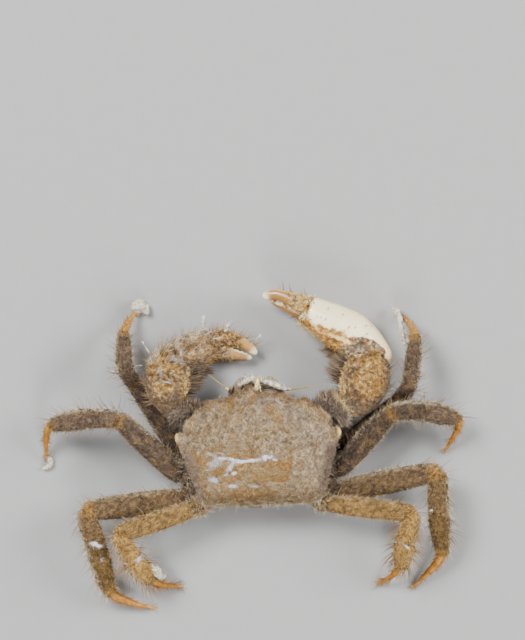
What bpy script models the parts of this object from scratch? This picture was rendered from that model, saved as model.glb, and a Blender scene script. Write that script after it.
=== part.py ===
"""A small hairy crab, life size, as a still display model.

The crab rests on its belly and the tips of its legs, with both claws folded forward.
+Y is forward, +X is the animal's right side and +Z is up. The floor is at z = 0, and the
origin lies on it under the middle of the shell. Every size below is in millimetres, and
MM turns it into the metres that the meshes hold. The solids reach to the tips of the
short coat.
"""

import math

import bmesh
import bpy
import numpy as np

MM = 0.001

# The shell: half of its outline from the middle of the front to the middle of the rear.
SHELL_OUTLINE = [
    (0.0, 5.85),
    (0.95, 5.8),
    (1.9, 5.3),
    (2.56, 4.9),
    (2.85, 4.66),
    (3.5, 4.4),
    (4.4, 4.5),
    (4.95, 4.4),
    (5.35, 3.8),
    (5.83, 3.2),
    (6.35, 2.85),
    (6.7, 2.35),
    (7.2, 1.85),
    (8.0, 1.0),
    (7.7, 0.2),
    (7.35, -0.9),
    (6.95, -2.0),
    (6.5, -3.03),
    (6.15, -4.3),
    (5.95, -5.3),
    (5.7, -5.8),
    (3.8, -5.85),
    (1.9, -5.9),
    (0.0, -5.9),
]
SHELL_FRONT = 5.9
SHELL_REAR = -5.9
SHELL_HALF_WIDTH = 8.0
SHELL_MIDDLE = (0.0, -0.9)
SHELL_UNDERSIDE = 3.9
SHELL_PEAK = 6.5
UNDERSIDE_SHARE = 0.955
MARGIN_FRONT = 4.15
MARGIN_SIDE = 4.45
MARGIN_REAR = 4.3
DOME_RINGS = (1.0, 0.97, 0.9, 0.78, 0.6, 0.4, 0.2)
DOME_ROUNDNESS = 2.6

# The chest under the shell: half of its outline, then how it narrows towards the floor.
CHEST_OUTLINE = [
    (0.0, 5.3),
    (1.1, 5.25),
    (2.1, 4.95),
    (3.0, 4.1),
    (3.6, 3.2),
    (4.1, 2.2),
    (4.8, 1.1),
    (5.3, 0.0),
    (5.4, -1.5),
    (5.3, -3.0),
    (4.95, -4.4),
    (4.6, -5.3),
    (4.2, -5.5),
    (2.0, -5.5),
    (0.0, -5.5),
]
CHEST_FRONT = 5.3
CHEST_REAR = -5.5
# Height, share of the width, where the front and the rear end, and how far the sides
# above the legs stand out.
CHEST_LEVELS = [
    (3.8, 1.0, 5.3, -5.5, 1.45),
    (3.3, 1.0, 5.1, -5.5, 1.15),
    (2.85, 1.0, 4.7, -5.5, 0.45),
    (2.0, 0.98, 3.6, -5.45, 0.0),
    (1.0, 0.92, 2.2, -5.3, 0.0),
    (0.4, 0.83, 1.5, -4.95, 0.0),
    (0.0, 0.7, 1.0, -4.5, 0.0),
]
CHEST_SIDES_FROM = -4.6
CHEST_SIDES_TO = 1.6
CHEST_FULLNESS = 0.6

# The abdomen bends from the rear of the shell under the belly: y, z and width.
ABDOMEN_SECTIONS = [
    (-5.78, 3.75, 3.3),
    (-5.86, 3.0, 3.5),
    (-5.86, 2.0, 3.5),
    (-5.66, 1.1, 3.3),
    (-5.1, 0.5, 3.1),
    (-4.3, 0.3, 2.7),
    (-3.0, 0.3, 2.3),
    (-1.5, 0.3, 2.1),
    (0.2, 0.3, 1.9),
    (0.9, 0.3, 1.5),
    (1.3, 0.3, 0.8),
]
ABDOMEN_DEPTH = 0.7
ABDOMEN_CLEARANCE = 0.12
BED_RISE = 1.0
BED_BELOW_FLOOR = -1.0

# The outer mouthparts lie on the slope between the belly and the front: x, y, z, width.
MOUTHPART_SECTIONS = [
    (1.28, 2.5, 0.45, 1.5),
    (1.3, 3.0, 0.8, 2.2),
    (1.33, 4.2, 1.75, 2.4),
    (1.3, 5.2, 2.65, 2.2),
    (1.1, 5.85, 3.2, 1.6),
    (0.85, 6.3, 3.45, 0.9),
]
MOUTHPART_DEPTH = 0.6

EYE_PLACE = (3.5, 4.6, 3.42)
EYE_SIZE = (1.0, 0.9, 0.8)

FEELER_THICKNESS = 0.5
FEELERS = {
    "antenna_left": [(-2.6, 5.4, 3.2), (-3.0, 5.75, 3.45), (-3.6, 6.2, 3.6), (-4.3, 6.65, 3.7)],
    "antenna_right": [(2.7, 5.45, 3.2), (3.3, 5.5, 3.55), (4.6, 5.45, 3.7), (6.0, 5.4, 3.8)],
}

JOINT_GAP = 0.16
LIMB_SIDES = 10
LIMB_THINNEST = 0.5
EDGE_ROUNDING = 0.16
EDGE_SHARE = 0.8
CREASE_ANGLE = math.radians(50)

# Walking legs. Where each pair leaves the chest, and where its long part starts.
HIPS = {
    "p2": ((5.75, 0.1, 1.75), (7.5, -0.8, 1.95)),
    "p3": ((5.75, -1.95, 2.05), (7.4, -2.9, 2.3)),
    "p4": ((5.6, -3.95, 1.9), (7.0, -4.9, 2.15)),
    "p5": ((4.95, -5.2, 3.1), (6.3, -5.85, 3.4)),
}
SEGMENTS = ("coxa", "merus", "carpus", "propodus", "dactyl")
# Widths at the start, the middle and the end of each segment, seen from above.
LEG_WIDTHS = {
    "p2": ((1.3, 1.6, 1.4), (1.5, 1.75, 1.6), (1.5, 1.7, 1.65), (1.65, 1.7, 1.35), (0.85, 0.75, 0.5)),
    "p3": ((1.4, 1.9, 1.6), (1.8, 2.3, 1.9), (1.65, 2.0, 2.1), (2.0, 2.1, 1.5), (0.9, 0.75, 0.5)),
    "p4": ((1.5, 2.0, 1.7), (1.9, 2.5, 2.2), (1.7, 2.15, 2.15), (2.15, 2.1, 1.55), (1.0, 0.8, 0.5)),
    "p5": ((1.2, 1.6, 1.4), (1.6, 2.05, 1.95), (1.65, 2.0, 1.95), (2.0, 2.1, 1.5), (0.9, 0.75, 0.5)),
}
# Depth of a section as a share of its width, for each segment.
LEG_DEPTH = (0.8, 0.62, 0.72, 0.7, 0.85)
# How far before and after a joint the leg's line starts to curve.
LEG_BEND = 1.0
BEND_LARGEST_SHARE = 0.45
BEND_STEPS = 9
DIRECTION_SPAN = 0.25
COXA_RINGS = 4
SEGMENT_RINGS = 6
# Headings from +X, reaches in plan, and heights of the far ends, from the merus outwards.
LEG_POSES = {
    "p2_left": (
        (120.5, 115.9, 90.2, 53.1),
        (8.3, 1.6, 3.4, 3.0),
        (2.1, 4.5, 2.4, 0.2),
    ),
    "p3_left": (
        (134.1, 177.3, 188.7, 262.5),
        (8.2, 3.0, 3.8, 3.6),
        (4.3, 4.1, 2.7, 0.2),
    ),
    "p4_left": (
        (184.4, 285.3, 282.5, 340.3),
        (9.7, 3.8, 4.65, 4.7),
        (3.8, 3.5, 1.6, 0.2),
    ),
    "p5_left": (
        (195.8, 298.0, 308.4, 348.2),
        (7.6, 3.1, 2.7, 2.85),
        (4.7, 4.2, 2.4, 0.2),
    ),
    "p2_right": (
        (36.7, 61.2, 80.4, 127.3),
        (7.95, 1.4, 4.8, 2.5),
        (2.3, 4.5, 3.1, 0.2),
    ),
    "p3_right": (
        (46.2, 0.5, -16.6, -120.6),
        (7.65, 3.05, 3.8, 3.7),
        (4.4, 4.2, 2.7, 0.2),
    ),
    "p4_right": (
        (9.9, -90.8, -85.3, -135.4),
        (10.0, 3.8, 4.35, 4.55),
        (3.8, 3.5, 1.6, 0.2),
    ),
    "p5_right": (
        (-8.0, -107.9, -99.9, -145.6),
        (8.2, 3.0, 2.5, 2.85),
        (4.7, 4.2, 2.4, 0.2),
    ),
}

# Claw arms. Each section is x, y, z, its heading from +X, its pitch, its width and depth.
CLAWS = {
    "right": {
        "coxa": [
            (4.5, 2.3, 1.9, 35, 0, 1.5, 1.5),
            (5.2, 2.75, 2.2, 28, 0, 1.8, 1.8),
            (5.8, 3.05, 2.4, 20, 0, 1.7, 1.7),
        ],
        "merus": [
            (5.95, 3.1, 2.5, 14, 0, 2.0, 1.9),
            (6.8, 3.28, 2.75, 6, 0, 2.8, 2.4),
            (7.5, 3.2, 2.95, 0, 0, 3.0, 2.5),
            (8.1, 3.05, 3.05, -6, 0, 2.6, 2.2),
        ],
        "carpus": [
            (9.35, 2.6, 3.2, 72, 0, 1.3, 1.4),
            (9.5, 3.05, 3.25, 70, 0, 2.2, 2.2),
            (9.8, 3.8, 3.3, 72, 0, 3.4, 3.0),
            (10.1, 4.6, 3.35, 78, 0, 4.3, 3.6),
            (10.3, 5.4, 3.3, 84, -8, 4.7, 3.8),
            (10.35, 6.2, 3.2, 88, -22, 4.9, 3.8),
            (10.4, 7.0, 2.95, 95, -38, 4.6, 3.6),
        ],
        "palm": [
            (10.45, 7.2, 2.75, 96, -38, 4.3, 3.3),
            (10.7, 7.85, 2.35, 103, -26, 4.6, 4.0),
            (10.2, 8.85, 2.1, 118, -10, 4.4, 4.3),
            (9.1, 10.1, 2.1, 136, 0, 4.4, 4.4),
            (7.65, 11.0, 2.05, 148, 0, 4.1, 4.3),
            (6.2, 11.85, 2.0, 151, 0, 3.5, 3.8),
            (5.1, 12.45, 1.95, 152, 0, 2.9, 3.1),
            (4.95, 12.4, 1.15, 152, 0, 2.0, 1.4),
            (3.9, 12.87, 1.15, 155, 0, 1.6, 1.25),
            (3.0, 13.22, 1.25, 155, 0, 1.25, 1.0),
            (2.1, 13.55, 1.4, 155, 0, 0.9, 0.75),
            (1.5, 13.8, 1.55, 155, 0, 0.5, 0.5),
        ],
        "finger": [
            (4.8, 13.0, 2.72, 152, 0, 1.8, 1.45),
            (4.0, 13.45, 2.7, 154, 0, 1.5, 1.35),
            (3.1, 13.88, 2.6, 160, 0, 1.2, 1.15),
            (2.15, 14.15, 2.45, 176, 0, 1.02, 0.95),
            (1.4, 14.1, 2.3, 205, 0, 0.9, 0.8),
            (1.0, 13.85, 2.15, 228, 0, 0.62, 0.55),
        ],
    },
    "left": {
        "coxa": [
            (-4.5, 2.3, 1.9, 145, 0, 1.5, 1.5),
            (-5.2, 2.75, 2.2, 152, 0, 1.8, 1.8),
            (-5.8, 3.05, 2.4, 160, 0, 1.7, 1.7),
        ],
        "merus": [
            (-5.95, 3.1, 2.5, 160, 0, 1.8, 1.9),
            (-6.6, 3.38, 2.75, 168, 0, 2.2, 2.3),
            (-7.1, 3.45, 2.9, 168, 0, 2.3, 2.3),
            (-7.55, 3.45, 3.05, 160, 0, 2.0, 2.1),
        ],
        "carpus": [
            (-8.45, 3.5, 3.3, 120, 0, 1.3, 1.5),
            (-8.4, 4.15, 3.45, 108, 0, 2.3, 2.4),
            (-8.4, 4.9, 3.6, 100, 0, 3.5, 3.0),
            (-8.4, 5.75, 3.5, 94, -12, 4.2, 3.3),
            (-8.35, 6.55, 3.25, 90, -26, 4.7, 3.3),
            (-8.25, 7.15, 2.95, 84, -38, 4.7, 3.1),
        ],
        "palm": [
            (-8.15, 7.35, 2.7, 80, -38, 4.5, 2.9),
            (-7.8, 7.95, 2.15, 64, -26, 4.4, 3.0),
            (-7.1, 8.45, 1.75, 48, -10, 4.1, 3.1),
            (-6.2, 8.9, 1.6, 36, 0, 3.9, 3.1),
            (-5.2, 9.25, 1.5, 24, 0, 3.6, 2.9),
            (-4.3, 9.5, 1.4, 14, 0, 3.2, 2.5),
            (-3.75, 9.55, 1.35, 8, 0, 2.9, 2.2),
            (-3.6, 8.8, 1.3, 6, 0, 1.3, 1.5),
            (-2.6, 8.68, 1.25, -6, 0, 1.25, 1.2),
            (-1.7, 8.46, 1.2, -10, 0, 1.0, 1.0),
            (-0.95, 8.3, 1.15, -10, 0, 0.75, 0.8),
            (-0.4, 8.18, 1.15, -10, 0, 0.5, 0.5),
        ],
        "finger": [
            (-3.5, 10.25, 1.4, 0, 0, 1.3, 1.6),
            (-2.6, 10.15, 1.4, -8, 0, 1.3, 1.3),
            (-1.65, 9.9, 1.35, -20, 0, 1.15, 1.1),
            (-0.8, 9.45, 1.3, -38, 0, 1.0, 0.95),
            (-0.2, 8.92, 1.3, -58, 0, 0.82, 0.75),
            (0.05, 8.45, 1.3, -80, 0, 0.52, 0.5),
        ],
    },
}
CLAW_SIDES = 12

COLOURS = {
    "shell": (0.40, 0.30, 0.20),
    "belly": (0.25, 0.20, 0.16),
    "leg": (0.28, 0.21, 0.15),
    "knuckle": (0.42, 0.29, 0.14),
    "ochre": (0.45, 0.27, 0.10),
    "ivory": (0.86, 0.78, 0.64),
    "pale": (0.70, 0.66, 0.55),
    "feeler": (0.62, 0.58, 0.36),
}
ROUGHNESS = 0.75
BARE_ROUGHNESS = 0.35


def clear_scene():
    for old in list(bpy.data.objects):
        bpy.data.objects.remove(old)


def material(name, colour):
    made = bpy.data.materials.new(name)
    made.use_nodes = True
    shader = made.node_tree.nodes["Principled BSDF"]
    shader.inputs["Base Color"].default_value = (*COLOURS[colour], 1.0)
    bare = colour in ("ivory", "pale")
    shader.inputs["Roughness"].default_value = BARE_ROUGHNESS if bare else ROUGHNESS
    shader.inputs["Metallic"].default_value = 0.0
    return made


def add_object(name, mesh, colour, collection, root, origin):
    """A finished piece with its origin at a point given in millimetres."""
    mesh.materials.append(material(name, colour))
    made = bpy.data.objects.new(name, mesh)
    collection.objects.link(made)
    made.location = [c * MM for c in origin]
    made.parent = root
    return made


def loft(name, rings, origin, floor=0.0):
    """A closed skin over rings of equal count, flat at both ends and cut off at the floor."""
    count = len(rings[0])
    points = np.concatenate(rings)
    points[:, 2] = np.maximum(points[:, 2], floor)
    points = (points - np.array(origin)) * MM
    faces = []
    for r in range(len(rings) - 1):
        for i in range(count):
            j = (i + 1) % count
            near, far = r * count, (r + 1) * count
            faces.append((near + i, near + j, far + j, far + i))
    last = (len(rings) - 1) * count
    faces.append(tuple(range(count))[::-1])
    faces.append(tuple(range(last, last + count)))
    mesh = bpy.data.meshes.new(name)
    mesh.from_pydata(points.tolist(), [], faces)
    shell = bmesh.new()
    shell.from_mesh(mesh)
    bmesh.ops.recalc_face_normals(shell, faces=shell.faces)
    shell.to_mesh(mesh)
    shell.free()
    mesh.shade_smooth()
    mesh.set_sharp_from_angle(angle=CREASE_ANGLE)
    return mesh


def oval(centre, tangent, width, depth, sides, across=None):
    """A ring across a path: an ellipse whose width lies level, or along a given direction."""
    tangent = np.array(tangent, float) / np.linalg.norm(tangent)
    across = np.cross(tangent, (0.0, 0.0, 1.0)) if across is None else np.array(across, float)
    across = across / np.linalg.norm(across)
    upward = np.cross(across, tangent)
    turn = np.linspace(0.0, 2.0 * math.pi, sides, endpoint=False)[:, None]
    return np.array(centre) + 0.5 * (
        width * np.cos(turn) * across + depth * np.sin(turn) * upward
    )


def tangents(centres):
    """The direction of a path at each of its points, from its neighbours."""
    centres = np.array(centres, float)
    return np.gradient(centres, axis=0)


def rounded_ends(rings, spans):
    """Adds a smaller ring at each end, so that a piece ends in a soft edge."""
    start, end = rings[0], rings[-1]
    first = start.mean(axis=0) + (start - start.mean(axis=0)) * EDGE_SHARE
    last = end.mean(axis=0) + (end - end.mean(axis=0)) * EDGE_SHARE
    inward = np.array(spans[0]) / np.linalg.norm(spans[0]) * EDGE_ROUNDING
    outward = np.array(spans[1]) / np.linalg.norm(spans[1]) * EDGE_ROUNDING
    return [first, start + inward, *rings[1:-1], end - outward, last]


def bent_path(knots, bend):
    """A line through the knots whose corners are eased by a quadratic arc.

    Returns its points, and the distance along it of the middle of each corner.
    """
    knots = np.array(knots, float)
    points = [knots[0]]
    middles = [0]
    for before, corner, after in zip(knots, knots[1:], knots[2:]):
        back = before - corner
        ahead = after - corner
        shorter = min(np.linalg.norm(back), np.linalg.norm(ahead))
        reach = min(bend, BEND_LARGEST_SHARE * shorter)
        enter = corner + back / np.linalg.norm(back) * reach
        leave = corner + ahead / np.linalg.norm(ahead) * reach
        steps = np.linspace(0.0, 1.0, BEND_STEPS)[:, None]
        arc = (1 - steps) ** 2 * enter + 2 * steps * (1 - steps) * corner + steps**2 * leave
        middles.append(len(points) + BEND_STEPS // 2)
        points.extend(arc)
    points.append(knots[-1])
    middles.append(len(points) - 1)
    points = np.array(points)
    run = np.concatenate([[0.0], np.cumsum(np.linalg.norm(np.diff(points, axis=0), axis=1))])
    return points, run, [run[m] for m in middles]


def along(points, run, distance):
    """The place and direction on a path at a distance from its start."""
    stops = (distance - DIRECTION_SPAN, distance, distance + DIRECTION_SPAN)
    near, place, far = np.column_stack([np.interp(stops, run, axis) for axis in points.T])
    return place, far - near


def size_between(three, share):
    """A width that runs smoothly through its values at the start, the middle and the end."""
    start, middle, end = three
    swell = middle - 0.5 * (start + end)
    return start + (end - start) * share + 4.0 * swell * share * (1.0 - share)


def shell_height(share, x, y):
    """Height of the shell's back at a share of the way out from its middle."""
    forward = np.clip((y - SHELL_REAR) / (SHELL_FRONT - SHELL_REAR), 0.0, 1.0)
    margin = MARGIN_REAR + (MARGIN_FRONT - MARGIN_REAR) * forward
    sideways = np.clip(np.abs(x) / SHELL_HALF_WIDTH, 0.0, 1.0)
    margin = margin + (MARGIN_SIDE - margin) * sideways**2
    return margin + (SHELL_PEAK - margin) * (1.0 - share**DOME_ROUNDNESS)


def both_sides(half):
    """A whole outline from its right half, which starts and ends on the middle line."""
    right = np.array(half, float)
    left = right[-2:0:-1] * (-1.0, 1.0)
    return np.concatenate([right, left])


def make_shell(collection, root):
    outline = both_sides(SHELL_OUTLINE)
    middle = np.array(SHELL_MIDDLE)
    under = middle + (outline - middle) * UNDERSIDE_SHARE
    rings = [np.column_stack([under, np.full(len(under), SHELL_UNDERSIDE)])]
    for share in DOME_RINGS:
        flat = middle + (outline - middle) * share
        height = shell_height(share, outline[:, 0], outline[:, 1])
        rings.append(np.column_stack([flat, height]))
    origin = (0.0, 0.0, SHELL_UNDERSIDE)
    mesh = loft("carapace", rings, origin)
    return add_object("carapace", mesh, "shell", collection, root, origin)


def abdomen_rings(grow):
    """The abdomen's sections, or a larger copy that runs on past both of its ends."""
    centres = [(0.0, y, z) for y, z, width in ABDOMEN_SECTIONS]
    directions = tangents(centres)
    rings = []
    for centre, direction, (y, z, width) in zip(centres, directions, ABDOMEN_SECTIONS):
        ring = oval(
            centre,
            direction,
            width + 2 * grow,
            ABDOMEN_DEPTH + 2 * grow,
            CLAW_SIDES,
            across=(1.0, 0.0, 0.0),
        )
        rings.append(ring)
    if grow:
        rings[0] = rings[0] + np.array((0.0, 0.0, BED_RISE))
        rings[-1] = rings[-1] + np.array((0.0, grow, 0.0))
    return rings


def make_chest(collection, cutters, root):
    """The chest, with a bed for the abdomen cut into its rear and its underside."""
    outline = both_sides(CHEST_OUTLINE)
    reach = (outline[:, 1] - CHEST_SIDES_FROM) / (CHEST_SIDES_TO - CHEST_SIDES_FROM)
    swell = np.sin(math.pi * np.clip(reach, 0.0, 1.0)) ** CHEST_FULLNESS
    bulge = swell * np.sign(outline[:, 0])
    rings = []
    for height, share, front, rear, flare in CHEST_LEVELS:
        y = np.where(
            outline[:, 1] > 0.0,
            outline[:, 1] * front / CHEST_FRONT,
            outline[:, 1] * rear / CHEST_REAR,
        )
        x = outline[:, 0] * share + flare * bulge
        rings.append(np.column_stack([x, y, np.full(len(y), height)]))
    origin = (0.0, 0.0, 0.0)
    chest = add_object("thorax", loft("thorax", rings, origin), "belly", collection, root, origin)

    bed_rings = abdomen_rings(ABDOMEN_CLEARANCE)
    mesh = loft("abdomen_bed", bed_rings, origin, floor=BED_BELOW_FLOOR)
    cutter = bpy.data.objects.new("abdomen_bed", mesh)
    cutters.objects.link(cutter)
    cutter.parent = root
    cutter.hide_render = True
    cutter.display_type = "WIRE"
    bed = chest.modifiers.new("abdomen bed", "BOOLEAN")
    bed.operation = "DIFFERENCE"
    bed.solver = "EXACT"
    bed.object = cutter
    return chest


def make_abdomen(collection, root):
    origin = (0.0, 0.0, 0.0)
    mesh = loft("abdomen", abdomen_rings(0.0), origin)
    return add_object("abdomen", mesh, "belly", collection, root, origin)


def make_mouthpart(name, side, collection, root):
    centres = [(side * x, y, z) for x, y, z, width in MOUTHPART_SECTIONS]
    directions = tangents(centres)
    rings = [
        oval(centre, direction, section[3], MOUTHPART_DEPTH, LIMB_SIDES)
        for centre, direction, section in zip(centres, directions, MOUTHPART_SECTIONS)
    ]
    mesh = loft(name, rings, centres[0])
    return add_object(name, mesh, "pale", collection, root, centres[0])


def make_eye(name, side, collection, root):
    ball = bmesh.new()
    bmesh.ops.create_uvsphere(ball, u_segments=10, v_segments=7, radius=0.5 * MM)
    bmesh.ops.scale(ball, vec=EYE_SIZE, verts=ball.verts)
    mesh = bpy.data.meshes.new(name)
    ball.to_mesh(mesh)
    ball.free()
    mesh.shade_smooth()
    place = (side * EYE_PLACE[0], EYE_PLACE[1], EYE_PLACE[2])
    return add_object(name, mesh, "pale", collection, root, place)


def make_feeler(name, knots, collection, root):
    """A feeler as a round curve along its knots."""
    origin = np.array(knots[0])
    line = bpy.data.curves.new(name, "CURVE")
    line.dimensions = "3D"
    line.bevel_depth = 0.5 * FEELER_THICKNESS * MM
    line.bevel_resolution = 1
    line.use_fill_caps = True
    spline = line.splines.new("POLY")
    spline.points.add(len(knots) - 1)
    for point, knot in zip(spline.points, knots):
        point.co = (*((np.array(knot) - origin) * MM), 1.0)
    line.materials.append(material(name, "feeler"))
    made = bpy.data.objects.new(name, line)
    collection.objects.link(made)
    made.location = [c * MM for c in origin]
    made.parent = root
    return made


def leg_knots(leg):
    """The joints of a leg from its headings, its reaches in plan and its heights."""
    pair, side_name = leg.split("_")
    side = -1.0 if side_name == "left" else 1.0
    knots = [np.array(point) * (side, 1.0, 1.0) for point in HIPS[pair]]
    for heading, reach, height in zip(*LEG_POSES[leg]):
        angle = math.radians(heading)
        x = knots[-1][0] + reach * math.cos(angle)
        y = knots[-1][1] + reach * math.sin(angle)
        knots.append(np.array((x, y, height)))
    return knots


def make_leg(leg, collection, root):
    """The segments of a leg along one eased path, parted at its joints."""
    pair = leg.split("_")[0]
    points, run, joints = bent_path(leg_knots(leg), LEG_BEND)
    for number, segment in enumerate(SEGMENTS):
        start = joints[number] + 0.5 * JOINT_GAP
        end = joints[number + 1] - 0.5 * JOINT_GAP
        count = COXA_RINGS if segment == "coxa" else SEGMENT_RINGS
        rings = []
        for share in np.linspace(0.0, 1.0, count):
            place, direction = along(points, run, start + (end - start) * share)
            width = size_between(LEG_WIDTHS[pair][number], share)
            depth = max(width * LEG_DEPTH[number], LIMB_THINNEST)
            rings.append(oval(place, direction, width, depth, LIMB_SIDES))
        origin, first = along(points, run, start)
        last = along(points, run, end)[1]
        name = f"{leg}_{segment}"
        colour = "ochre" if segment == "dactyl" or pair == "p5" else "leg"
        mesh = loft(name, rounded_ends(rings, (first, last)), origin)
        add_object(name, mesh, colour, collection, root, origin)


def make_claw_piece(name, sections, colour, collection, root):
    """One piece of a claw arm through its oval sections."""
    rings = []
    for x, y, z, heading, pitch, width, depth in sections:
        turn = math.radians(heading)
        tilt = math.radians(pitch)
        level = math.cos(tilt)
        direction = (level * math.cos(turn), level * math.sin(turn), math.sin(tilt))
        rings.append(oval((x, y, z), direction, width, depth, CLAW_SIDES))
    origin = sections[0][:3]
    add_object(name, loft(name, rings, origin), colour, collection, root, origin)


def make_claws(collection, root):
    colours = {"coxa": "belly", "merus": "leg", "carpus": "shell"}
    for side, pieces in CLAWS.items():
        for piece, sections in pieces.items():
            hand = "ivory" if side == "right" else "ochre"
            colour = colours.get(piece, hand)
            make_claw_piece(f"claw_{side}_{piece}", sections, colour, collection, root)


def make_crab():
    clear_scene()
    collection = bpy.data.collections.new("hairy_crab")
    cutters = bpy.data.collections.new("cutters")
    for made in (collection, cutters):
        bpy.context.scene.collection.children.link(made)
    root = bpy.data.objects.new("hairy_crab", None)
    collection.objects.link(root)

    make_shell(collection, root)
    make_chest(collection, cutters, root)
    make_abdomen(collection, root)
    for side, word in ((-1.0, "left"), (1.0, "right")):
        make_mouthpart(f"mouthpart_{word}", side, collection, root)
        make_eye(f"eye_{word}", side, collection, root)
    for name, knots in FEELERS.items():
        make_feeler(name, knots, collection, root)
    for leg in LEG_POSES:
        make_leg(leg, collection, root)
    make_claws(collection, root)


make_crab()
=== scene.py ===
"""The looks of a small hairy crab, laid out as a Blender add-on.

Every shape is worked out with numpy in millimetres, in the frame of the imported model: +Y is
forward, +X is the animal's right side, +Z is up and the floor is at z = 0. A skin is a closed
grid of points. Its rows run along the piece, its columns run round it, and it lies inside
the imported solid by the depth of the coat. Hairs are tapered rods or spikes that grow on it.
"""

import math
from collections import namedtuple

import bpy
import numpy as np
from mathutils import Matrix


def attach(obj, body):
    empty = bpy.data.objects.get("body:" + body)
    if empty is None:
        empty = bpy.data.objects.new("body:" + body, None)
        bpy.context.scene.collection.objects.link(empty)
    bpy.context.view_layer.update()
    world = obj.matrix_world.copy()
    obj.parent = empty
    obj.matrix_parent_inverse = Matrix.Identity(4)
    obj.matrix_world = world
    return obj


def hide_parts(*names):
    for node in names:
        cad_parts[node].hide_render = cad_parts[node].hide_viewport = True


bl_info = {
    "name": "Hairy Crab Model",
    "version": (1, 0, 0),
    "blender": (4, 5, 0),
    "location": "3D View > Sidebar > Hairy Crab",
    "description": "Builds the shell, claws, legs and coat of a small hairy crab",
    "category": "Add Mesh",
}

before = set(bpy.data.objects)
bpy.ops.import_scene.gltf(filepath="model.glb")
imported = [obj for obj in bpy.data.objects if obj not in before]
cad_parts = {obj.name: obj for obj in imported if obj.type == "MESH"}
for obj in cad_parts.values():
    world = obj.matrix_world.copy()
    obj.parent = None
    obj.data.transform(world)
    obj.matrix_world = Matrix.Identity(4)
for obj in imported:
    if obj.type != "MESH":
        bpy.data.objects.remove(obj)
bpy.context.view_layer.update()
MM = 0.001
TINY = 1e-9
FULL_TURN = 2.0 * math.pi
UP = np.array((0.0, 0.0, 1.0))
FORWARD = (0.0, 1.0, 0.0)
FORWARD_AND_UP = (0.0, 1.0, 0.3)

# The shell's outline, from its middle notch down each side to the rear. The solid's is simpler.
SHELL_RIGHT = [
    (0.16, 4.95), (0.85, 5.02), (1.5, 4.95), (2.1, 4.9), (2.55, 4.78), (2.9, 4.55), (3.3, 4.34),
    (3.8, 4.28), (4.3, 4.32), (4.72, 4.42), (4.98, 4.2), (5.2, 3.86), (5.42, 3.68), (5.85, 3.45),
    (6.25, 3.1), (6.42, 2.86), (6.8, 2.6), (7.08, 2.15), (7.16, 1.65), (7.36, 1.4), (7.78, 1.38),
    (7.98, 1.02), (7.85, 0.45), (7.62, -0.15), (7.38, -0.95), (7.12, -1.75), (6.88, -2.6),
    (6.66, -3.5), (6.42, -4.4), (6.18, -5.1), (5.86, -5.52), (5.3, -5.78), (3.8, -5.86),
    (1.9, -5.9), (0.0, -5.9),
]
SHELL_LEFT = [
    (-0.06, 5.3), (-0.5, 5.62), (-0.95, 5.5), (-1.45, 5.26), (-1.95, 5.1), (-2.4, 4.82),
    (-2.9, 4.54), (-3.4, 4.4), (-3.95, 4.4), (-4.4, 4.44), (-4.82, 4.46), (-5.04, 4.22),
    (-5.14, 3.86), (-5.5, 3.68), (-5.95, 3.42), (-6.22, 3.05), (-6.62, 2.76), (-6.95, 2.38),
    (-7.12, 1.92), (-7.18, 1.56), (-7.38, 1.38), (-7.78, 1.36), (-8.0, 1.05), (-7.84, 0.42),
    (-7.58, -0.2), (-7.34, -0.8), (-7.05, -1.5), (-6.78, -2.4), (-6.48, -3.3), (-6.16, -4.2),
    (-5.9, -4.95), (-5.66, -5.42), (-5.2, -5.76), (-3.8, -5.86), (-1.9, -5.9),
]
SHELL_COLUMNS = 300
SHELL_UNDER_RINGS = 16
SHELL_BACK_RINGS = 120
SHELL_FRONT = 5.9
SHELL_REAR = -5.9
SHELL_HALF_WIDTH = 8.0
SHELL_MIDDLE = (0.0, -0.9)
SHELL_UNDERSIDE = 3.9
SHELL_FLAT = SHELL_UNDERSIDE + 0.06
SHELL_EDGE = SHELL_UNDERSIDE + 0.09
SHELL_PEAK = 6.5
MARGIN_FRONT = 4.15
MARGIN_SIDE = 4.45
MARGIN_REAR = 4.3
DOME_ROUNDNESS = 2.6

# Raised regions of the shell's back: x, y, reach sideways, reach lengthways. Each is on both sides.
SHELL_REGIONS = [
    (2.1, 2.9, 1.3, 1.3), (0.0, 1.0, 1.0, 1.7), (0.0, -2.9, 1.5, 0.8), (5.2, 1.0, 1.4, 1.0),
    (4.3, -2.3, 1.5, 1.7), (4.7, 3.2, 0.9, 0.7), (0.7, 5.2, 0.8, 0.5), (0.0, -4.9, 2.4, 0.5),
]
# Worn patches: x, y, half length, half width, turn in degrees, strength.
WORN_PATCHES = [
    (-2.6, -1.22, 1.3, 0.14, -9, 0.9), (-0.8, -1.4, 1.5, 0.15, 3, 1.0),
    (0.75, -1.16, 0.55, 0.26, 6, 1.0), (1.4, -1.38, 0.3, 0.08, -10, 0.7),
    (-2.7, -2.0, 0.7, 0.26, 55, 0.75), (-2.4, -2.55, 0.25, 0.14, 10, 0.8),
    (-4.1, -1.5, 0.9, 0.4, 30, 0.62), (-4.2, -0.85, 0.8, 0.1, -30, 0.6),
    (-4.7, -2.05, 0.5, 0.1, 10, 0.5), (-4.42, -3.12, 0.6, 0.2, -6, 0.8),
    (-2.53, -3.74, 0.46, 0.18, -4, 0.8), (-0.5, -3.86, 0.52, 0.12, -4, 0.7),
    (-3.6, -0.62, 0.5, 0.08, -30, 0.3),
]
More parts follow.
